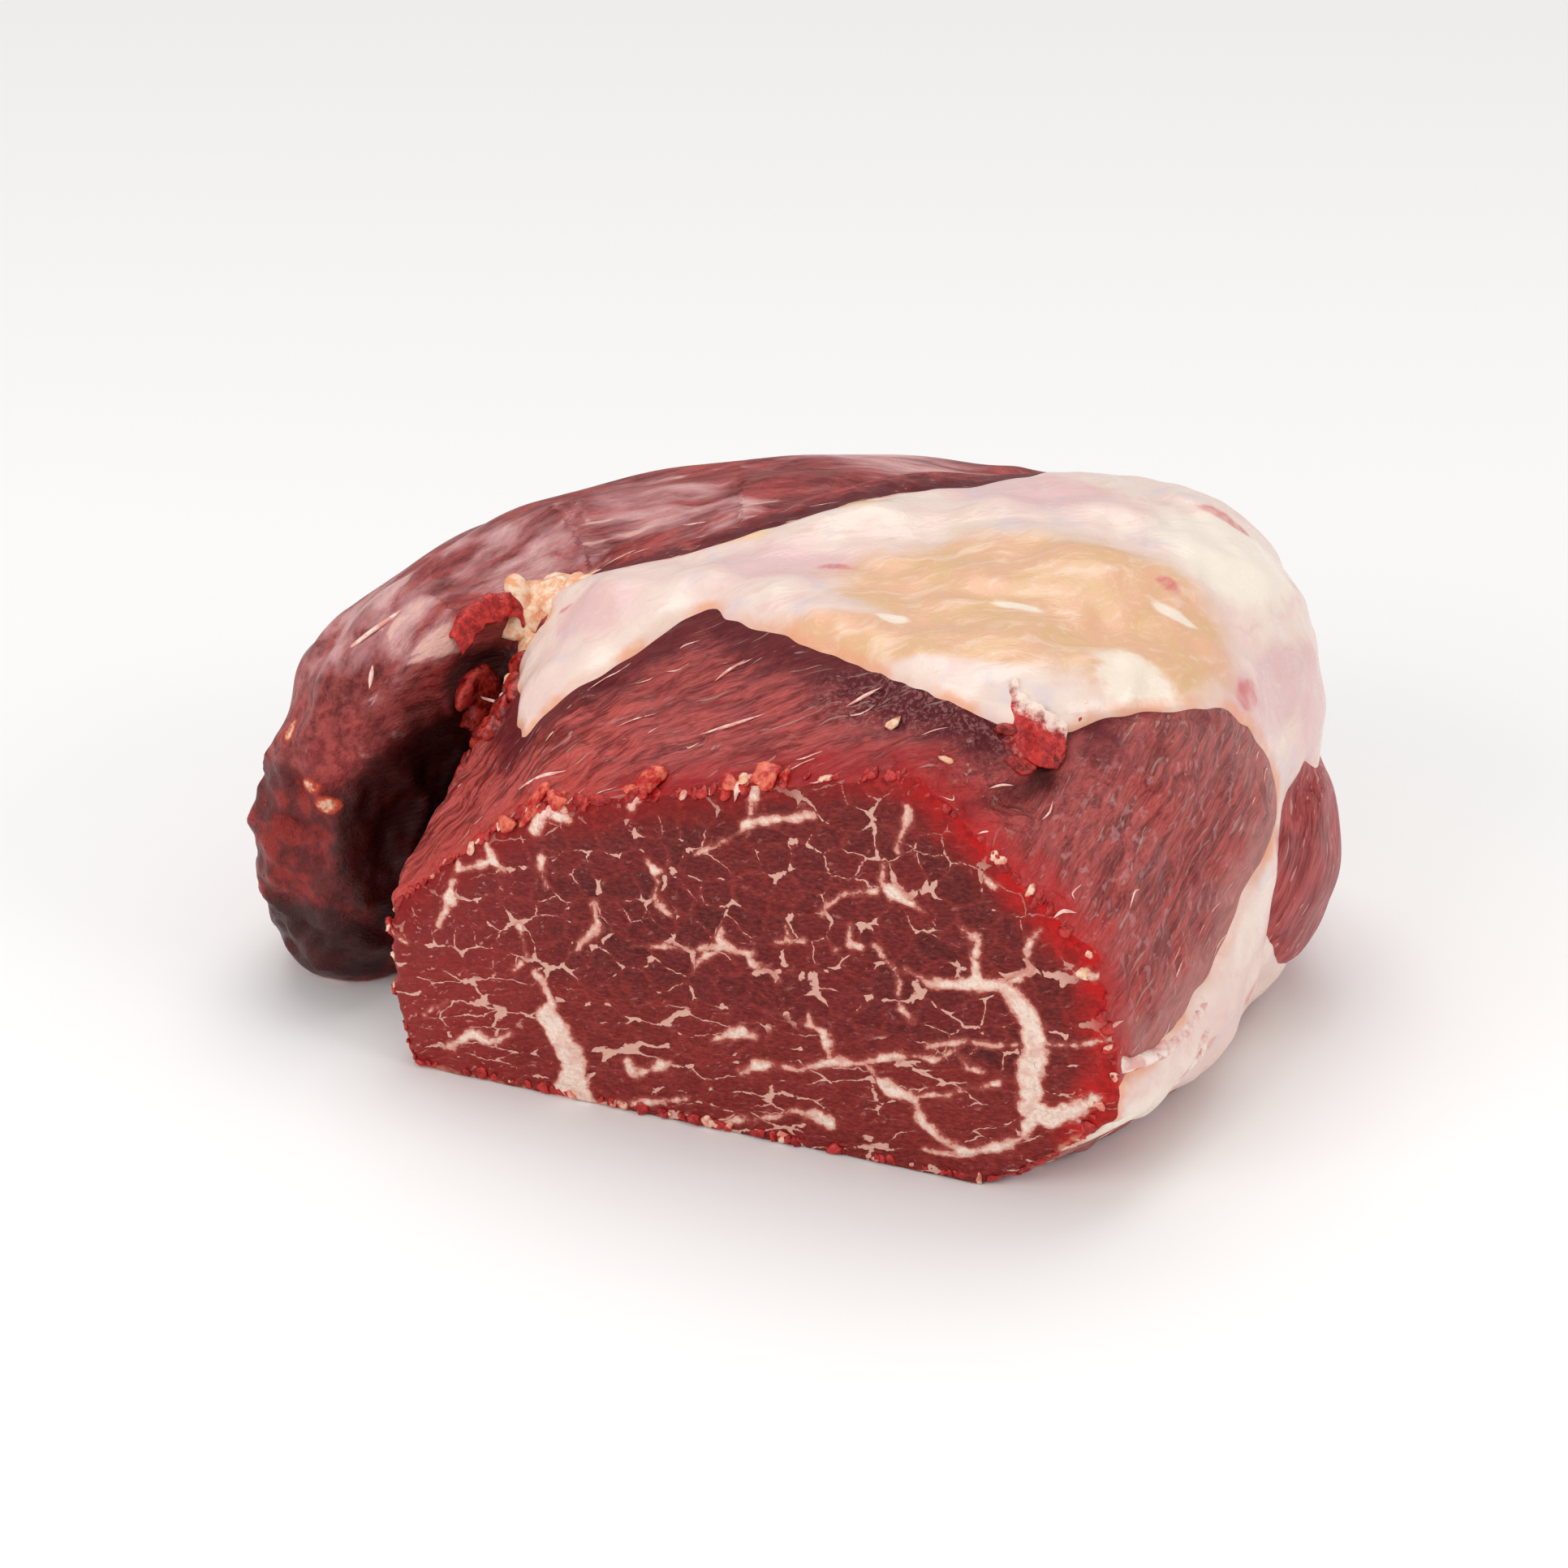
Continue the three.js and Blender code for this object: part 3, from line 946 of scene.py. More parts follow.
def trimmed_side():
    bm = patch(TRIMMED)
    at = places(bm)
    fat = -fat_field(at)
    rim = from_lines(at[:, (0, 2)], [thin(TOP_RIM)])
    rim = np.hypot(np.maximum(rim, 0), at[:, 1] - CUT_PLANE)
    turn = np.arctan2(at[:, 0] - ROUND_CENTRE[0], at[:, 2] - ROUND_CENTRE[1])
    border = from_border(bm)
    press, crease_shade = from_crease(at)
    crust = spots(at, (CRUST,))
    rough = waves(at, (5, 11), 31) * COARSE_ROUGH
    rough += waves(at, (2.2, 4), 32) * (FINE_ROUGH + CRUST_ROUGH * crust)
    rough += SHOULDER_RISE * spots(at, (SHOULDER,)) - press
    push(bm, rough * smoothstep(border, 0, 2))
    finished(bm, "trimmed_side", trimmed_flesh(), TRIMMED_WALL,
             {"round": turn, "rim": rim, "fat edge": fat, "crease_shade": crease_shade, "crust": crust,
              "raw": spots(at, (RAW_PATCH,)), "open": kept(bm, "open")})


trimmed_side()


# ---------- the fat cap ----------
# A sheet of firm fat a few millimetres thick covers the top and the right side. It is creamy, pink
# where blood shows through, and tan where a thin clear skin lies over it.

FAT_WALL = 3.0
FAT_RAISED = 0.9
FAT_ROUND = 1.3
FAT_LUMPS = 0.16
FAT_ROLL = 0.45
NOTCH_LUMPS = 0.5
TAN = (
    # the place of each spot, and its half sizes along x, y and z
    ((45, -16, 73), (35, 21, 14)), ((30, -35, 71), (24, 6, 7)),
)
PINK = (
    ((2, -14, 71), (14, 8, 8)), ((73, -12, 58), (6, 9, 8)), ((28, 24, 74), (16, 8, 8)),
    ((75, 14, 48), (5, 8, 14)), ((-26, -24, 63), (9, 6, 6)), ((76, 2, 58), (6, 14, 8)),
)
ORANGE = (((-43, -13, 56), (7, 7, 7)), ((-20, -3, 70), (16, 4, 5)), ((0, 9, 73), (10, 4, 4)))
RED_SPOTS = (
    ((8.7, -12.9, 72.7), (4.2, 1.5, 2)),
    ((57.7, -1.4, 72.2), (3, 1.8, 2)),
    ((73, -10.5, 61), (2, 4.5, 3.5)),
    ((78.3, -8, 36), (2, 3.5, 2.5)),
    ((76.5, -14, 14), (3, 5, 2)),
    ((58, 32, 71), (8, 2, 3)),
    ((-34, -20, 62), (1.8, 0.8, 2)),
)
# whiter fat, and painted highlights where the light glints on the top of the cap
WHITE_AND_GLINT_SPOTS = (
    ((40.5, -20.2, 73.6), (4.5, 1.3, 2)),
    ((61.5, -7.3, 70.5), (5, 1.6, 3)),
    ((24.3, -29.9, 72.8), (3, 1.6, 2)),
    ((62, -30, 68), (13, 5, 5)),
    ((62, 20, 70), (14, 16, 9)),
    ((66, -52, 10), (12, 14, 8)),
)


def cap_fat():
    made, tree = surface("cap fat")
    mm = in_mm(tree)
    shaken = warped(tree, mm, 8.0, 4.0)
    cloud = noise(tree, mm, 12.0, detail=3)
    streak = noise(tree, laid(tree, shaken, (0.8, 0.6, 0.1), (11, 3, 3)), 1.0, 3, 0.6)
    fine = noise(tree, shaken, 1.4, detail=4, roughness=0.65)

    def spotted(name, size, low, high, amount=0.9):
        return ramp(tree, uneven(tree, name, noise(tree, shaken, size, 3), amount), low, high)

    base = blend(tree, ramp(tree, cloud, 0.35, 0.65), paint(240, 219, 206), paint(234, 204, 195))
    base = tint(tree, base, paint(226, 184, 184), spotted("pink", 7.0, 0.55, 1.3), 0.8)
    base = tint(tree, base, paint(228, 180, 172), ramp(tree, streak, 0.52, 0.72), 0.45)
    # grey-violet patches at random: the fat's own tint, and painted shade of its soft dips
    grey = ramp(tree, noise(tree, shaken, 8.0, 2), 0.54, 0.7)
    base = tint(tree, base, paint(214, 200, 208), grey, 0.5)
    yellow = blend(tree, ramp(tree, noise(tree, shaken, 7.0, 3), 0.42, 0.6), paint(229, 176, 138),
                   paint(224, 178, 130))
    yellow = blend(tree, ramp(tree, streak, 0.5, 0.7), yellow, paint(236, 198, 168))
    base = tint(tree, base, yellow, spotted("tan", 9.0, 0.5, 1.15), 0.95)
    base = tint(tree, base, paint(244, 200, 152), spotted("orange", 3.0, 0.6, 1.2), 0.85)
    base = tint(tree, base, paint(250, 238, 226), ramp(tree, fine, 0.5, 0.8), 0.25)
    # whiter fat and painted glints
    base = tint(tree, base, paint(247, 236, 220), spotted("white_and_glints", 3.0, 0.6, 1.3), 0.8)
    base = tint(tree, base, paint(224, 150, 148), spotted("red", 3.0, 0.5, 1.4), 0.4)
    base = tint(tree, base, paint(206, 92, 94), spotted("red", 1.7, 1.15, 2.1, amount=1.6), 0.65)
    edge = uneven(tree, "edge", noise(tree, mm, 1.8, detail=3), 2.2)
    broken = calc(tree, "MULTIPLY_ADD", ramp(tree, noise(tree, mm, 9.0, 2), 0.4, 0.6), 0.65, 0.2)
    base = tint(tree, base, paint(234, 164, 128), ramp(tree, edge, 3.6, 1.4), broken)
    height = calc(tree, "MULTIPLY_ADD", streak, 0.5, calc(tree, "MULTIPLY", fine, 0.16))
    coat(tree, base, ramp(tree, cloud, 0.3, 0.7, 0.22, 0.38), height, 0.5, gloss=0.45)
    return made


def fat_cap():
    bm = patch(FAT)
    at = places(bm)
    edge = from_border(bm)
    raised = FAT_RAISED * (1 - np.exp(-edge / FAT_ROUND))
    raised *= smoothstep(at[:, 1], CUT_PLANE, CUT_PLANE + 8) * smoothstep(at[:, 2], 1, 8)
    notch = spots(at, ORANGE[:1])
    lumpy = waves(at, (4, 9), 41) * (FAT_LUMPS + NOTCH_LUMPS * notch)
    lumpy += waves(at, (2, 4), 43) * NOTCH_LUMPS * notch
    raised += (lumpy + waves(at, (10, 22), 42) * FAT_ROLL) * smoothstep(edge, 0, 3)
    push(bm, raised)
    finished(bm, "fat_cap", cap_fat(), FAT_WALL, {
        "edge": edge + 3 * smoothstep(strip_field(at), -6, 0), "tan": spots(at, TAN),
        "pink": spots(at, PINK), "orange": spots(at, ORANGE),
        "red": spots(at, RED_SPOTS), "white_and_glints": spots(at, WHITE_AND_GLINT_SPOTS),
    })


fat_cap()


# ---------- the side muscle ----------
# The wing wraps round the left side and the back. Its fibres run along it in ropes under a mauve skin,
# which is torn off in places, and its front end is a ragged lump, painted dark: torn flesh and painted
# shade. Its inner side at the cleft and its foot get painted shade, and its skin on top a painted sheen.

WING_WALL = 2.5
WING_LINE = ((-70, -75), (-68, -48), (-66, -18), (-54, 10), (-26, 32), (11, 37), (48, 30), (80, 20))
ROPE_DEPTH = 0.7
ROPE_STRETCH = (0.14, 1, 1)
LUMP_DEPTH = 2.0
SMALL_LUMPS = 0.4
FINE_LUMPS = 0.25
SCRAP_RISE = 0.9
# spots of mauve silverskin, painted brighter with a painted sheen
SILVER_AND_SHEEN = (
    ((-65, -25, 55), (13, 19, 11)), ((-50, -5, 63), (18, 13, 8)), ((-28, 12, 68), (20, 12, 7)),
    ((0, 34, 72), (26, 13, 6)), ((-76, 10, 40), (8, 24, 16)), ((20, 58, 40), (26, 12, 14)),
)
# painted shade: the inner side of the front end, towards the cleft, and its foot by the floor
SHADED_SIDE = (
    ((-53, -36, 26), (13, 20, 24)), ((-66, -50, 8), (18, 14, 10)), ((-47, -24, 47), (6, 12, 9)),
)
ORANGE_BITS = (
    # scraps of fat on its ragged end
    ((-66, -47, 37.5), (2.6, 3, 1.4)), ((-63, -47, 35), (2.4, 3, 1.6)), ((-52, -50, 27), (2.4, 4, 2.6)),
    ((-58, -46, 6), (3, 3, 1.6)), ((-73, -42, 44), (1.6, 3, 2)), ((-74, -44, 20), (1.4, 3, 2.4)),
)


def along_line(points, line):
    """How far along a line in plan each point lies, in mm, and how far off it."""
    line = np.asarray(line, float)
    best = np.full(len(points), np.inf)
    travelled = np.zeros(len(points))
    gone = 0.0
    for start, end in zip(line[:-1], line[1:]):
        part, away = beside(points, start, end)
        far = np.linalg.norm(away, axis=1)
        reach = np.linalg.norm(end - start)
        travelled = np.where(far < best, gone + part * reach, travelled)
        best = np.minimum(best, far)
        gone += reach
    return travelled, side_of(points, line)


def side_flesh():
    made, tree = surface("side muscle flesh")
    space = mark(tree, "grain", "Vector")
    mm = in_mm(tree)
    lumps = noise(tree, mm, 7.0, 4, 0.6)
    grain = use(tree, GRAIN, Vector=space)
    cloud = noise(tree, laid(tree, space, (1, 0, 0), (22, 7, 7)), 1.0, 3, 0.6)
    film = noise(tree, laid(tree, warped(tree, space, 12, 3), (1, 0, 0), (38, 5, 5)), 1.0, 4, 0.62)
    base = blend(tree, ramp(tree, cloud, 0.38, 0.62), flesh(112, 32, 36), flesh(158, 56, 57))
    base = fibred(tree, base, ramp(tree, grain["Strand"], 0.35, 0.65), flesh(80, 22, 27),
                  flesh(208, 112, 106))
    base = tint(tree, base, flesh(196, 104, 98), ramp(tree, grain["Thread"], 0.4, 0.7), 0.2)
    # the mauve silverskin, painted brighter than it is with a painted sheen
    silver_and_sheen = ramp(tree, uneven(tree, "silver_and_sheen", film, 4.0), 2.3, 3.5)
    mauve = blend(tree, ramp(tree, cloud, 0.4, 0.6), paint(192, 128, 131), paint(226, 180, 178))
    base = tint(tree, base, mauve, silver_and_sheen, 0.8)
    # painted highlight: pale streaks along the skin on the top of the muscle, where the light catches it
    pale = calc(tree, "MULTIPLY", ramp(tree, film, 0.6, 0.68), mark(tree, "high"))
    base = tint(tree, base, paint(236, 186, 170), pale, 0.7)
    # the ragged front end is painted darker: torn flesh, and painted shade where that end turns from the
    # light
    torn = ramp(tree, noise(tree, mm, 5.0, 4, 0.6), 0.46, 0.64)
    torn = blend(tree, torn, flesh(88, 32, 31), flesh(150, 50, 46))
    base = tint(tree, base, torn, ramp(tree, uneven(tree, "low", lumps, 0.9), 0.8, 1.3), 0.8)
    # painted shade over the inner side and the foot of the front end
    shaded = ramp(tree, uneven(tree, "shaded side", lumps, 1.0), 0.75, 1.3)
    base = tint(tree, base, flesh(60, 22, 23), shaded, 0.85)
    scraps = uneven(tree, "scraps", noise(tree, mm, 2.0, 4, 0.6), 1.4)
    scrap = blend(tree, ramp(tree, scraps, 1.5, 1.9), flesh(190, 70, 50), paint(248, 206, 172))
    base = blend(tree, ramp(tree, scraps, 1.05, 1.5), base, scrap)
    # painted shade: flesh deep in the cleft, which sees little open air, is darkened nearly to black
    base = tint(tree, base, flesh(36, 15, 17), ramp(tree, mark(tree, "open"), 0.62, 0.22), 0.95)
    wet = ramp(tree, noise(tree, mm, 6, 2), 0.3, 0.7, 0.26, 0.44)
    height = calc(tree, "MULTIPLY_ADD", grain["Thread"], 0.4, grain["Strand"])
    coat(tree, base, wet, height, 0.6, gloss=0.3)
    return made


def side_muscle():
    bm = patch(WING)
    at = places(bm)
    along, off = along_line(at[:, :2], WING_LINE)
    grain = np.stack([along, off, at[:, 2]], axis=1)
    border = from_border(bm)
    ropes = waves(grain * ROPE_STRETCH, (6, 13), 51) * ROPE_DEPTH
    front = smoothstep(at[:, 1], -10, -34) * smoothstep(at[:, 2], 46, 34)
    lumps = (0.5 - np.abs(waves(at, (14, 30), 52))) * LUMP_DEPTH
    scraps = spots(at, ORANGE_BITS)
    lumps += waves(at, (5, 10), 53) * SMALL_LUMPS + waves(at, (2.5, 5), 54) * FINE_LUMPS
    lumps += scraps * SCRAP_RISE
    press = ropes * (1 - front) + lumps * front
    push(bm, press * smoothstep(border, 0, 3) * smoothstep(at[:, 2], 0.5, 6))
    finished(bm, "side_muscle", side_flesh(), WING_WALL, {
        "grain": grain, "high": smoothstep(at[:, 2], 34, 58), "low": front,
        "silver_and_sheen": spots(at, SILVER_AND_SHEEN), "shaded side": spots(at, SHADED_SIDE), "scraps": scraps,
        "open": kept(bm, "open"),
    })


side_muscle()


# ---------- the strip ----------
# A small flat muscle lies against the right side at the back. The fat is torn open over it, and its
# coarse fibres show, with a few pale hairs of the tissue that held the fat.

STRIP_WALL = 2.5
STRIP_ROPES = 0.4
STRIP_STRETCH = (1, 0.4, 0.6)


def strip_flesh():
    made, tree = surface("strip flesh")
    mm = in_mm(tree)
    grain = use(tree, GRAIN, Vector=laid(tree, mm, (0.1, 0.75, 0.65)))
    cloud = noise(tree, mm, 9.0, detail=3)
    base = blend(tree, ramp(tree, cloud, 0.35, 0.65), flesh(142, 54, 56), flesh(176, 68, 68))
    base = fibred(tree, base, ramp(tree, grain["Strand"], 0.35, 0.65), flesh(104, 34, 40),
                  flesh(204, 118, 114))
    base = tint(tree, base, flesh(230, 190, 184), grain["Hair"], 0.4)
    coat(tree, base, 0.38, grain["Strand"], 0.5)
    return made


def strip():
    bm = patch(STRIP)
    at = places(bm)
    ropes = waves(at * STRIP_STRETCH, (5, 9), 61) * STRIP_ROPES
    push(bm, ropes * smoothstep(from_border(bm), 0, 3))
    finished(bm, "strip", strip_flesh(), STRIP_WALL)


strip()


# ---------- the underside ----------
# The side that the meat lies on is pressed flat by its weight. It is bare flesh, its fibres running
# from front to back, with patches of pale skin left on it.

UNDER_WALL = 2.5


def under_flesh():
    made, tree = surface("underside flesh")
    mm = in_mm(tree)
    grain = use(tree, GRAIN, Vector=laid(tree, mm, (0.2, 1, 0)))
    cloud = noise(tree, warped(tree, mm, 8, 4), 16.0, 3, 0.6)
    base = blend(tree, ramp(tree, cloud, 0.35, 0.6), flesh(132, 50, 54), flesh(166, 74, 74))
    base = fibred(tree, base, ramp(tree, grain["Strand"], 0.35, 0.65), flesh(96, 34, 40),
                  flesh(200, 130, 124))
    base = blend(tree, ramp(tree, cloud, 0.58, 0.66, 0, 0.85), base, paint(228, 196, 184))
    coat(tree, base, 0.4, grain["Strand"], 0.4)
    return made


finished(patch(UNDER), "underside", under_flesh(), UNDER_WALL)


# ---------- the torn sheets ----------
# Where the knife dragged and hands pulled, thin sheets of flesh stand torn: the flap over the crease,
# the lip round the top of the cleft, and folds of skin along the low edge of the fat on the right.

SHEET_WALL = 0.7
SHEET_RAGGED = 0.5
SHEET_STEPS = (6, 4)
FLAP = (
    # rows of points from the root of the sheet to its torn edge
    ((48, -47, 65), (50.5, -48, 63.2), (53, -47.8, 61.6), (55.4, -46, 60.8)),
    ((46.6, -45, 68.6), (49.3, -46.2, 67.4), (52.6, -46, 65.6), (55.8, -44.4, 63.4)),
    ((47.4, -41.8, 72.8), (49, -43.2, 70.4), (52.2, -43, 68.6), (55.6, -42, 66)),
)
FLAP_BACK = (
    ((50, -43, 66), (53, -43, 64.5), (56, -42, 63)),
    ((50.6, -41.2, 69.4), (53.6, -41, 67.6), (56.6, -39.6, 66.4)),
    ((49.8, -39.6, 71.6), (53, -39.4, 70.2), (57, -38.2, 68.4)),
)
LIP = (
    ((-54, -25, 53), (-54, -21, 56.5), (-52, -16.5, 58.5), (-49, -12.5, 59), (-46, -10.8, 57)),
    ((-51.8, -24.8, 56.6), (-51.4, -21, 59.4), (-49.6, -16.8, 60.6), (-47.2, -13.4, 60),
     (-45, -12.4, 57)),
    ((-49.6, -25.4, 54), (-49, -21.4, 56.4), (-47.2, -18, 57.4), (-45.8, -15.4, 57), (-44.4, -14, 55)),
)
FOLDS = (
    # the two sides of each fold, which lies on the fat
    (((71, -60, 22), (73, -52, 20), (75, -42, 20), (77, -31, 22)),
     ((71.4, -60, 24), (74, -51.6, 22.5), (76, -42, 22.6), (78, -31, 25))),
    (((71, -53, 12), (74, -45, 12), (75.6, -34, 13), (76.6, -24, 15)),
     ((72, -53, 14.6), (75, -45, 14.6), (76.8, -34, 16), (77.8, -24, 18.4))),
    (((73, -46, 15.6), (75, -38, 16), (77, -30, 17)), ((73, -46, 17.4), (75, -38, 18.2), (77, -30, 19))),
)
FOLD_RISE = 1.1
FOLD_ROOT = -0.6

skin_tree = BVHTree.FromBMesh(roast)


def settled(place):
    """The nearest point of the skin, and the direction out of it."""
    point, normal, _, _ = skin_tree.find_nearest(Vector(place))
    return point, normal


def risen(place, lift):
    """The point over the skin nearest to a place, a lift in mm above it."""
    point, normal = settled(place)
    return point + normal * lift


def eased(points, steps):
    """A smooth line through some points, with a number of steps between each two."""
    points = np.asarray(points, float)
    line = np.vstack([2 * points[0] - points[1], points, 2 * points[-1] - points[-2]])
    drawn = []
    for i in range(len(points) - 1):
        drawn += [bend(*line[i:i + 4], t) for t in np.arange(steps) / steps]
    return np.array([*drawn, points[-1]])


def torn_sheet(bm, rows, paleness, seed):
    """A thin sheet through rows of points. It is more ragged and paler towards its last row."""
    rows = np.array([eased(row, SHEET_STEPS[0]) for row in rows])
    spread = np.array([eased(rows[:, i], SHEET_STEPS[1]) for i in range(rows.shape[1])])
    across, up = spread.shape[0] - 1, spread.shape[1] - 1
    pale = bm.verts.layers.float["pale"]
    made = bmesh.ops.create_grid(bm, x_segments=across, y_segments=up, size=0.5)["verts"]
    part = np.array([vert.co.xy for vert in made]) + 0.5
    at = np.array([spread[round(x * across), round(y * up)] for x, y in part])
    shake = np.stack([waves(at, (1.2, 3.5), seed + axis) for axis in range(3)], axis=1)
    at += shake * (part[:, 1:] * SHEET_RAGGED)
    for vert, place, (_, rise) in zip(made, at, part):
        vert.co = place
        vert[pale] = rise * paleness


def fold(low, high):
    """Rows over a fold of skin, which rises between its two sides and dies out at its ends."""
    rows = [[risen(place, FOLD_ROOT) for place in side] for side in (low, high)]
    top = [risen((Vector(a) + Vector(b)) / 2, FOLD_RISE) for a, b in zip(low, high)]
    top[0], top[-1] = ((rows[0][end] + rows[1][end]) / 2 for end in (0, -1))
    return rows[0], top, rows[1]


def torn_flesh():
    made, tree = surface("torn flesh")
    mm = in_mm(tree)
    fine = noise(tree, mm, 1.4, 4, 0.65)
    red = blend(tree, ramp(tree, fine, 0.35, 0.65), flesh(146, 26, 30), flesh(214, 62, 56))
    pale = ramp(tree, uneven(tree, "pale", fine, 0.8), 1.0, 1.35)
    coat(tree, blend(tree, pale, red, paint(248, 222, 208)), 0.28, fine, 0.5, gloss=0.4)
    return made


def folded_skin():
    made, tree = surface("folded skin")
    mm = in_mm(tree)
    cloud = noise(tree, mm, 3.0, 3, 0.6)
    base = blend(tree, ramp(tree, cloud, 0.4, 0.62), paint(226, 168, 160), paint(244, 226, 216))
    base = tint(tree, base, paint(190, 84, 80), ramp(tree, noise(tree, mm, 2.0, 3), 0.6, 0.7), 0.6)
    coat(tree, base, 0.3, cloud, 0.5, gloss=0.5)
    return made


def torn_sheets(name, sheets, material, seed):
    bm = bmesh.new()
    bm.verts.layers.float.new("pale")
    for i, (rows, paleness) in enumerate(sheets):
        torn_sheet(bm, rows, paleness, seed + 10 * i)
    finished(bm, name, material, SHEET_WALL, {"pale": kept(bm, "pale")}, side=0, soft=1)


torn_sheets("torn_sheets", ((FLAP, 1), (FLAP_BACK, 1), (LIP, 0.55)), torn_flesh(), 71)
torn_sheets("skin_folds", [(fold(*sides), 1) for sides in FOLDS], folded_skin(), 171)


# ---------- the loose bits ----------
# Crumbs of fat and flesh stay where the knife tore them: along the edge of the cut face, in the
# notch of the fat at the cleft, on the walls of the cleft and on the ragged end of the side muscle.

FAT_BITS = (
    # place, and size in mm
    ((-43.4, -15.3, 53.4), 5), ((-45.9, -12.9, 56.3), 5), ((-46.2, -12.1, 58.8), 4),
    ((-40.5, -8.9, 59.9), 5), ((-43, -11, 60), 4), ((-42, -19, 51), 4), ((-37, -8, 62), 4),
    ((-41, -24, 50), 3), ((42.1, -56.7, 64.8), 1.4), ((32, -51.4, 66.5), 1.3),
    ((65.1, -61.2, 37.7), 1.8), ((53, -44.5, 66), 1.6), ((-20, -60, 47), 2), ((13, -59.5, 57), 2.2),
)
FLESH_BITS = (
    ((-49.8, -23.5, 45.7), 5), ((-48.4, -20.4, 45.4), 4.5), ((-40.1, -31.1, 49), 4),
    ((-40, -28.4, 50.7), 4), ((-41.4, -34.5, 46), 4), ((-44, -24, 46), 5), ((-43, -20, 49), 5),
    ((-42, -36, 40), 4), ((54.8, -45, 62.5), 2.4), ((51, -49, 62), 2.2), ((48, -47, 66), 2),
)
RIM_BITS = (
    ((-20, -60.4, 47.5), 3), ((-16.5, -60, 49.5), 2.6), ((-5, -60, 53), 2.4), ((-2.6, -59, 54.5), 2.6),
    ((11, -60, 57), 2.8), ((16, -60, 58.5), 3), ((19, -60, 60), 2.2), ((-24, -60, 44), 2),
)
EDGE_BITS = 140
EDGE_BIT_SIZE = (0.5, 1.4)
FEW_FAT = 6
BIT_UNEVEN = 0.42
BIT_STRETCH = (0.7, 1.7)
BIT_SHAPE = (1.2, 1, 0.55)
SETTLE = 0.04
FINE_OVER = 2
LOWEST = 0.05


def bit(bm, place, size, draw):
    """A crumb of an uneven shape, flattened and pressed a little way into the skin."""
    point, normal = settled(place)
    fine = 3 if size > FINE_OVER else 2
    made = bmesh.ops.create_icosphere(bm, subdivisions=fine, radius=size / 2)["verts"]
    at = np.array([vert.co for vert in made])
    swollen = 1 + BIT_UNEVEN * waves(at, (size * 0.55, size * 1.5), draw.integers(1000), 14)
    stretch = draw.uniform(*BIT_STRETCH, 3) * BIT_SHAPE
    turn = normal.to_track_quat("Z", "Y") @ Euler((0, 0, draw.uniform(0, math.pi))).to_quaternion()
    for vert, new in zip(made, at * swollen[:, None] * stretch):
        vert.co = point + turn @ Vector(new) + normal * (size * SETTLE)
        vert.co.z = max(vert.co.z, LOWEST)


def tissue(name, deep, pale):
    """A wet, finely clouded material between a deep and a pale colour."""
    made, tree = surface(name)
    cloud = noise(tree, in_mm(tree), 1.8, 4, 0.6)
    coat(tree, blend(tree, ramp(tree, cloud, 0.38, 0.62), deep, pale), 0.32, cloud, 0.5, gloss=0.4)
    return made


def loose_bits(name, bits, material, seed):
    bm = bmesh.new()
    draw = np.random.default_rng(seed)
    for place, size in bits:
        bit(bm, place, size, draw)
    finished(bm, name, material, None)


def along_edge(line, count, size, seed):
    """Places and sizes of crumbs scattered along the edge of the cut face."""
    draw = np.random.default_rng(seed)
    line = np.asarray(line, float)
    gone = np.concatenate([[0], np.cumsum(np.linalg.norm(np.diff(line, axis=0), axis=1))])
    for spot in draw.uniform(0, gone[-1], count):
        x, z = (np.interp(spot, gone, line[:, axis]) for axis in (0, 1))
        yield (x, CUT_PLANE + draw.uniform(0, 1.2), max(z, 0.8)), draw.uniform(*size)


edge_bits = list(along_edge(TOP_RIM, EDGE_BITS, EDGE_BIT_SIZE, 81))
low_bits = list(along_edge(LOW_RIM, EDGE_BITS, EDGE_BIT_SIZE, 82))
loose_bits("fat_bits", FAT_BITS, tissue("loose fat", paint(238, 168, 124), paint(250, 222, 194)),
           83)
loose_bits("flesh_bits", FLESH_BITS, tissue("loose flesh", flesh(112, 30, 32), flesh(190, 66, 58)),
           84)
loose_bits("rim_bits", RIM_BITS, tissue("rim flesh", flesh(186, 40, 38), flesh(232, 118, 92)), 87)
loose_bits("edge_bits", [crumb for i, crumb in enumerate(edge_bits + low_bits) if i % FEW_FAT],
           tissue("edge flesh", flesh(150, 34, 36), flesh(200, 62, 58)), 85)
loose_bits("edge_fat", (edge_bits + low_bits)[::FEW_FAT],
           tissue("edge fat", paint(222, 120, 100), paint(246, 206, 180)), 86)


# ---------- the pale strings ----------
# Fine strings of silverskin cling to the trimmed flesh and hang over the edge of the cut. Each is
# drawn out thin at its ends and lies along the fibres.

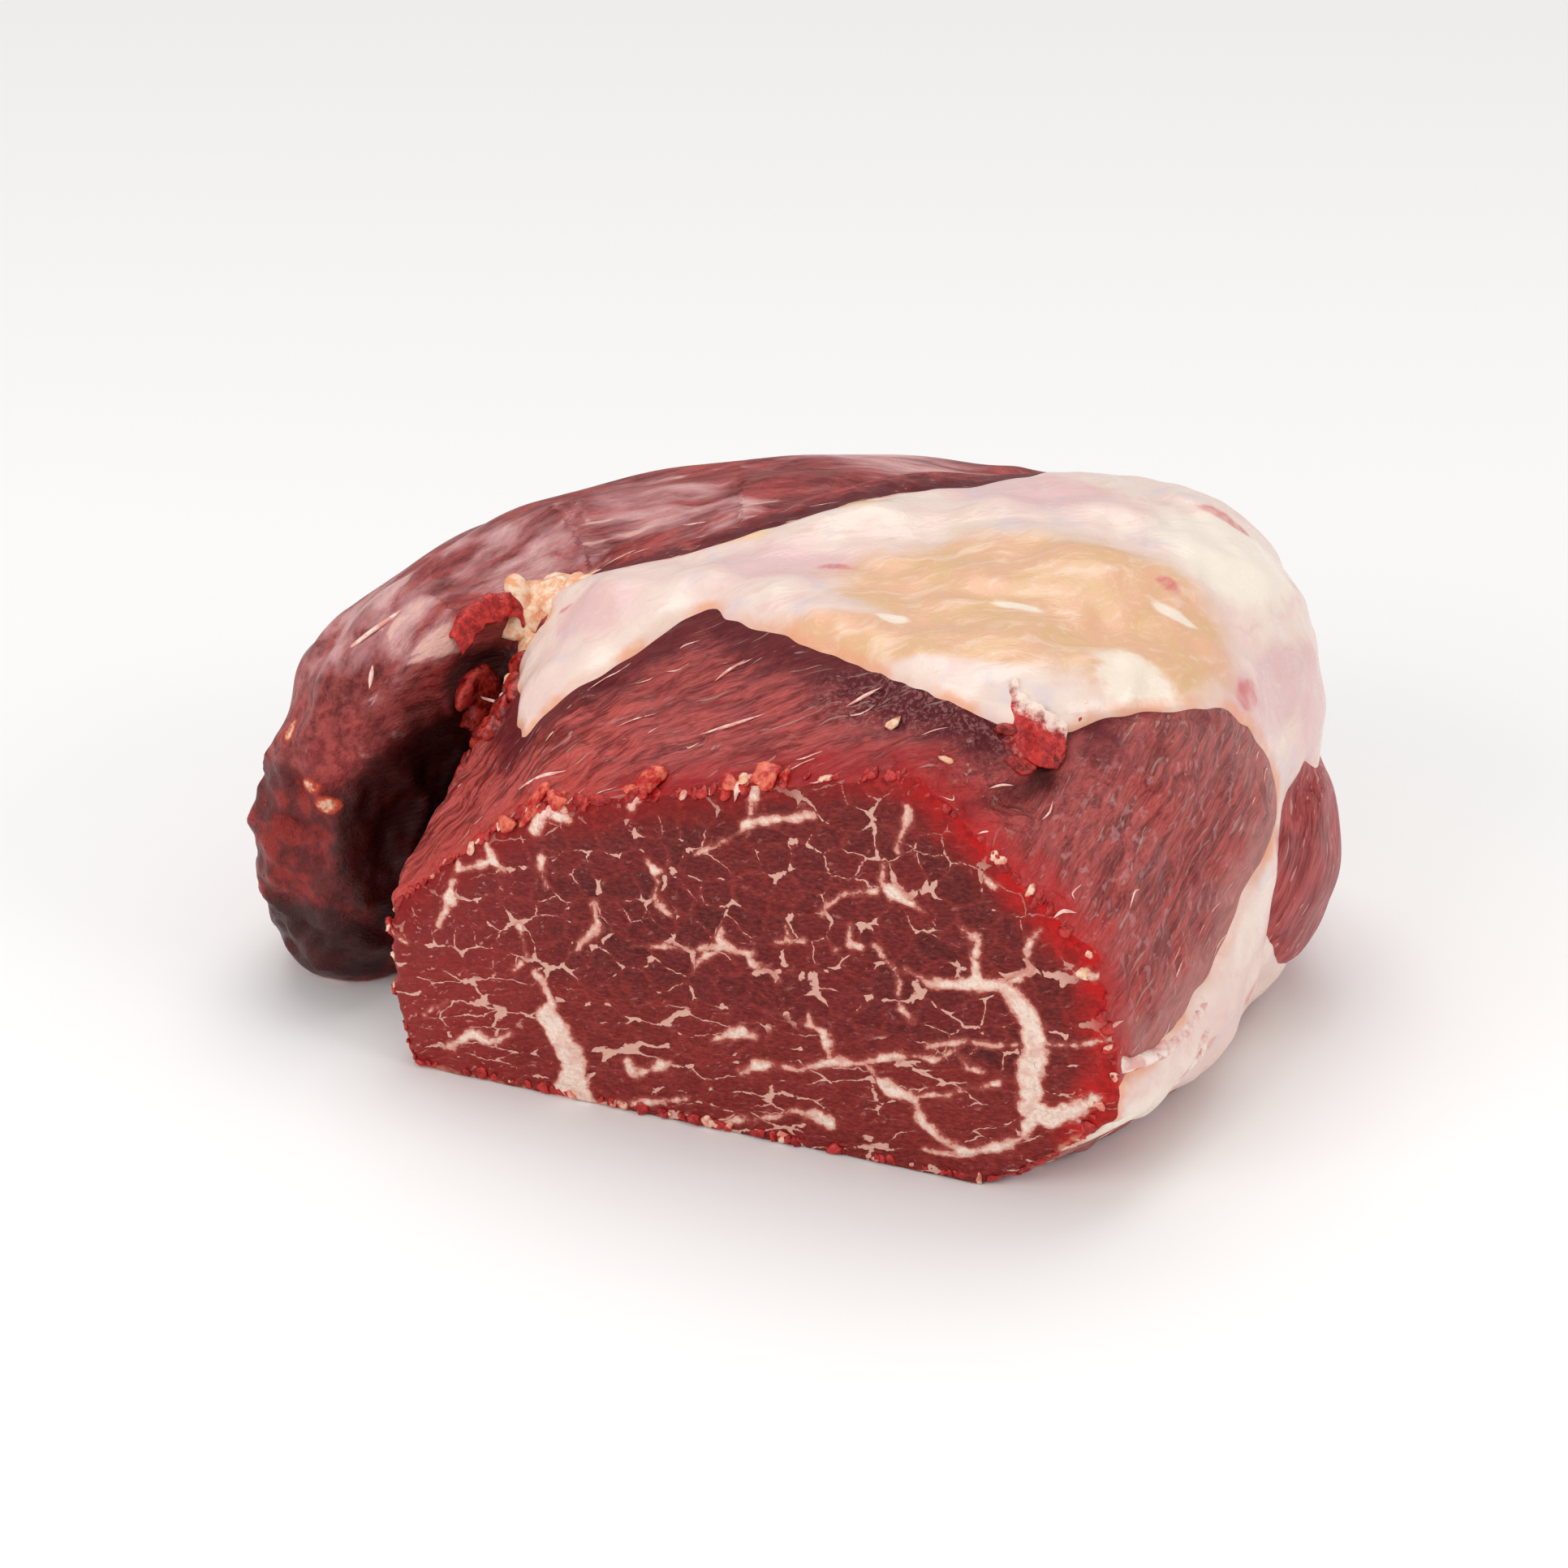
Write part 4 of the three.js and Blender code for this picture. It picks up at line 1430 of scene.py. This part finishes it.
STRINGS = (
    # half width, and the points that the string passes
    (0.8, (-19.7, -61.9, 45.4), (-17.3, -61, 48.2), (-14.2, -60.2, 49.4)),
    (0.6, (-4, -61.9, 51), (-3.2, -60.1, 53), (-2.3, -57.4, 54)),
    (0.8, (12.2, -61.9, 55), (13.5, -59.7, 57.4), (17, -60.3, 57.6)),
    (0.35, (1.8, -50.7, 59.3), (6, -49.6, 61), (11.7, -48.1, 63.1)),
    (0.35, (23.6, -47.8, 66.2), (26, -46, 67.6), (28, -44.8, 68.9)),
    (0.3, (0.4, -41.3, 63.7), (2, -39.6, 65), (4.3, -38, 66.3)),
    (0.4, (-25.1, -55.9, 47.6), (-21, -55.8, 50), (-17.2, -55.4, 52.1)),
    (0.35, (68, -61.9, 29.3), (69, -60, 29.6), (69.7, -57.3, 29.1)),
    (0.3, (60.5, -61.9, 45.6), (61.6, -60.6, 46.4), (63.6, -59.6, 46.2)),
    (0.5, (-67.4, -36.2, 52.9), (-65, -32.3, 55.9), (-62.1, -26.5, 59), (-60.2, -21.6, 60.9)),
    (0.4, (-59.6, -38.6, 51.6), (-60, -37, 53), (-60.5, -35.4, 54.3)),
    (0.5, (-36.7, 5.3, 66.6), (-28, 6, 68), (-20, 6.8, 69.8)),
    (0.6, (-49.8, -23.5, 45.7), (-46, -25, 47), (-41.4, -28.4, 50)),
)
FINE_STRINGS = 90
FINE_HALF = (0.09, 0.2)
FINE_LENGTH = (2, 7)
FINE_CURL = 0.5
STRING_FLAT = 0.6
STRING_LIFT = 0.35


def string(bm, half, points):
    """A flattened string that lies on the skin through some points."""
    line = eased([settled(point)[0] for point in points], 6)
    made = bmesh.ops.create_uvsphere(bm, u_segments=8, v_segments=len(line) + 1, radius=1)["verts"]
    for vert in made:
        part = math.acos(max(-1, min(1, -vert.co.z))) / math.pi * (len(line) - 1)
        start = min(int(part), len(line) - 2)
        along = Vector(line[start + 1] - line[start])
        spot, out = settled(line[start] + (line[start + 1] - line[start]) * (part - start))
        side = along.cross(out).normalized()
        vert.co = spot + (side * vert.co.x + out * (vert.co.y * STRING_FLAT + STRING_LIFT)) * half
        vert.co.z = max(vert.co.z, LOWEST)


def fine_strings():
    """Short fine strings strewn over the trimmed side, each lying along the fibres there."""
    draw = np.random.default_rng(91)
    faces = [face for face in roast.faces if face.material_index == TRIMMED]
    for pick in draw.choice(len(faces), FINE_STRINGS, replace=False):
        middle = faces[pick].calc_center_median()
        turn = math.atan2(middle.x - ROUND_CENTRE[0], middle.z - ROUND_CENTRE[1])
        grain = RIGHT_GRAIN if turn > 0.85 else LEFT_GRAIN if turn < -0.65 else TOP_GRAIN
        reach = Vector(grain).normalized() * draw.uniform(*FINE_LENGTH) / 2
        curl = Vector(draw.normal(size=3)) * FINE_CURL
        yield draw.uniform(*FINE_HALF), middle - reach, middle + curl, middle + reach


def pale_strings():
    bm = bmesh.new()
    for half, *points in [*STRINGS, *fine_strings()]:
        string(bm, half, points)
    finished(bm, "pale_strings", tissue("silverskin string", paint(226, 150, 138), paint(246, 212, 198)),
             None)


pale_strings()


roast.free()
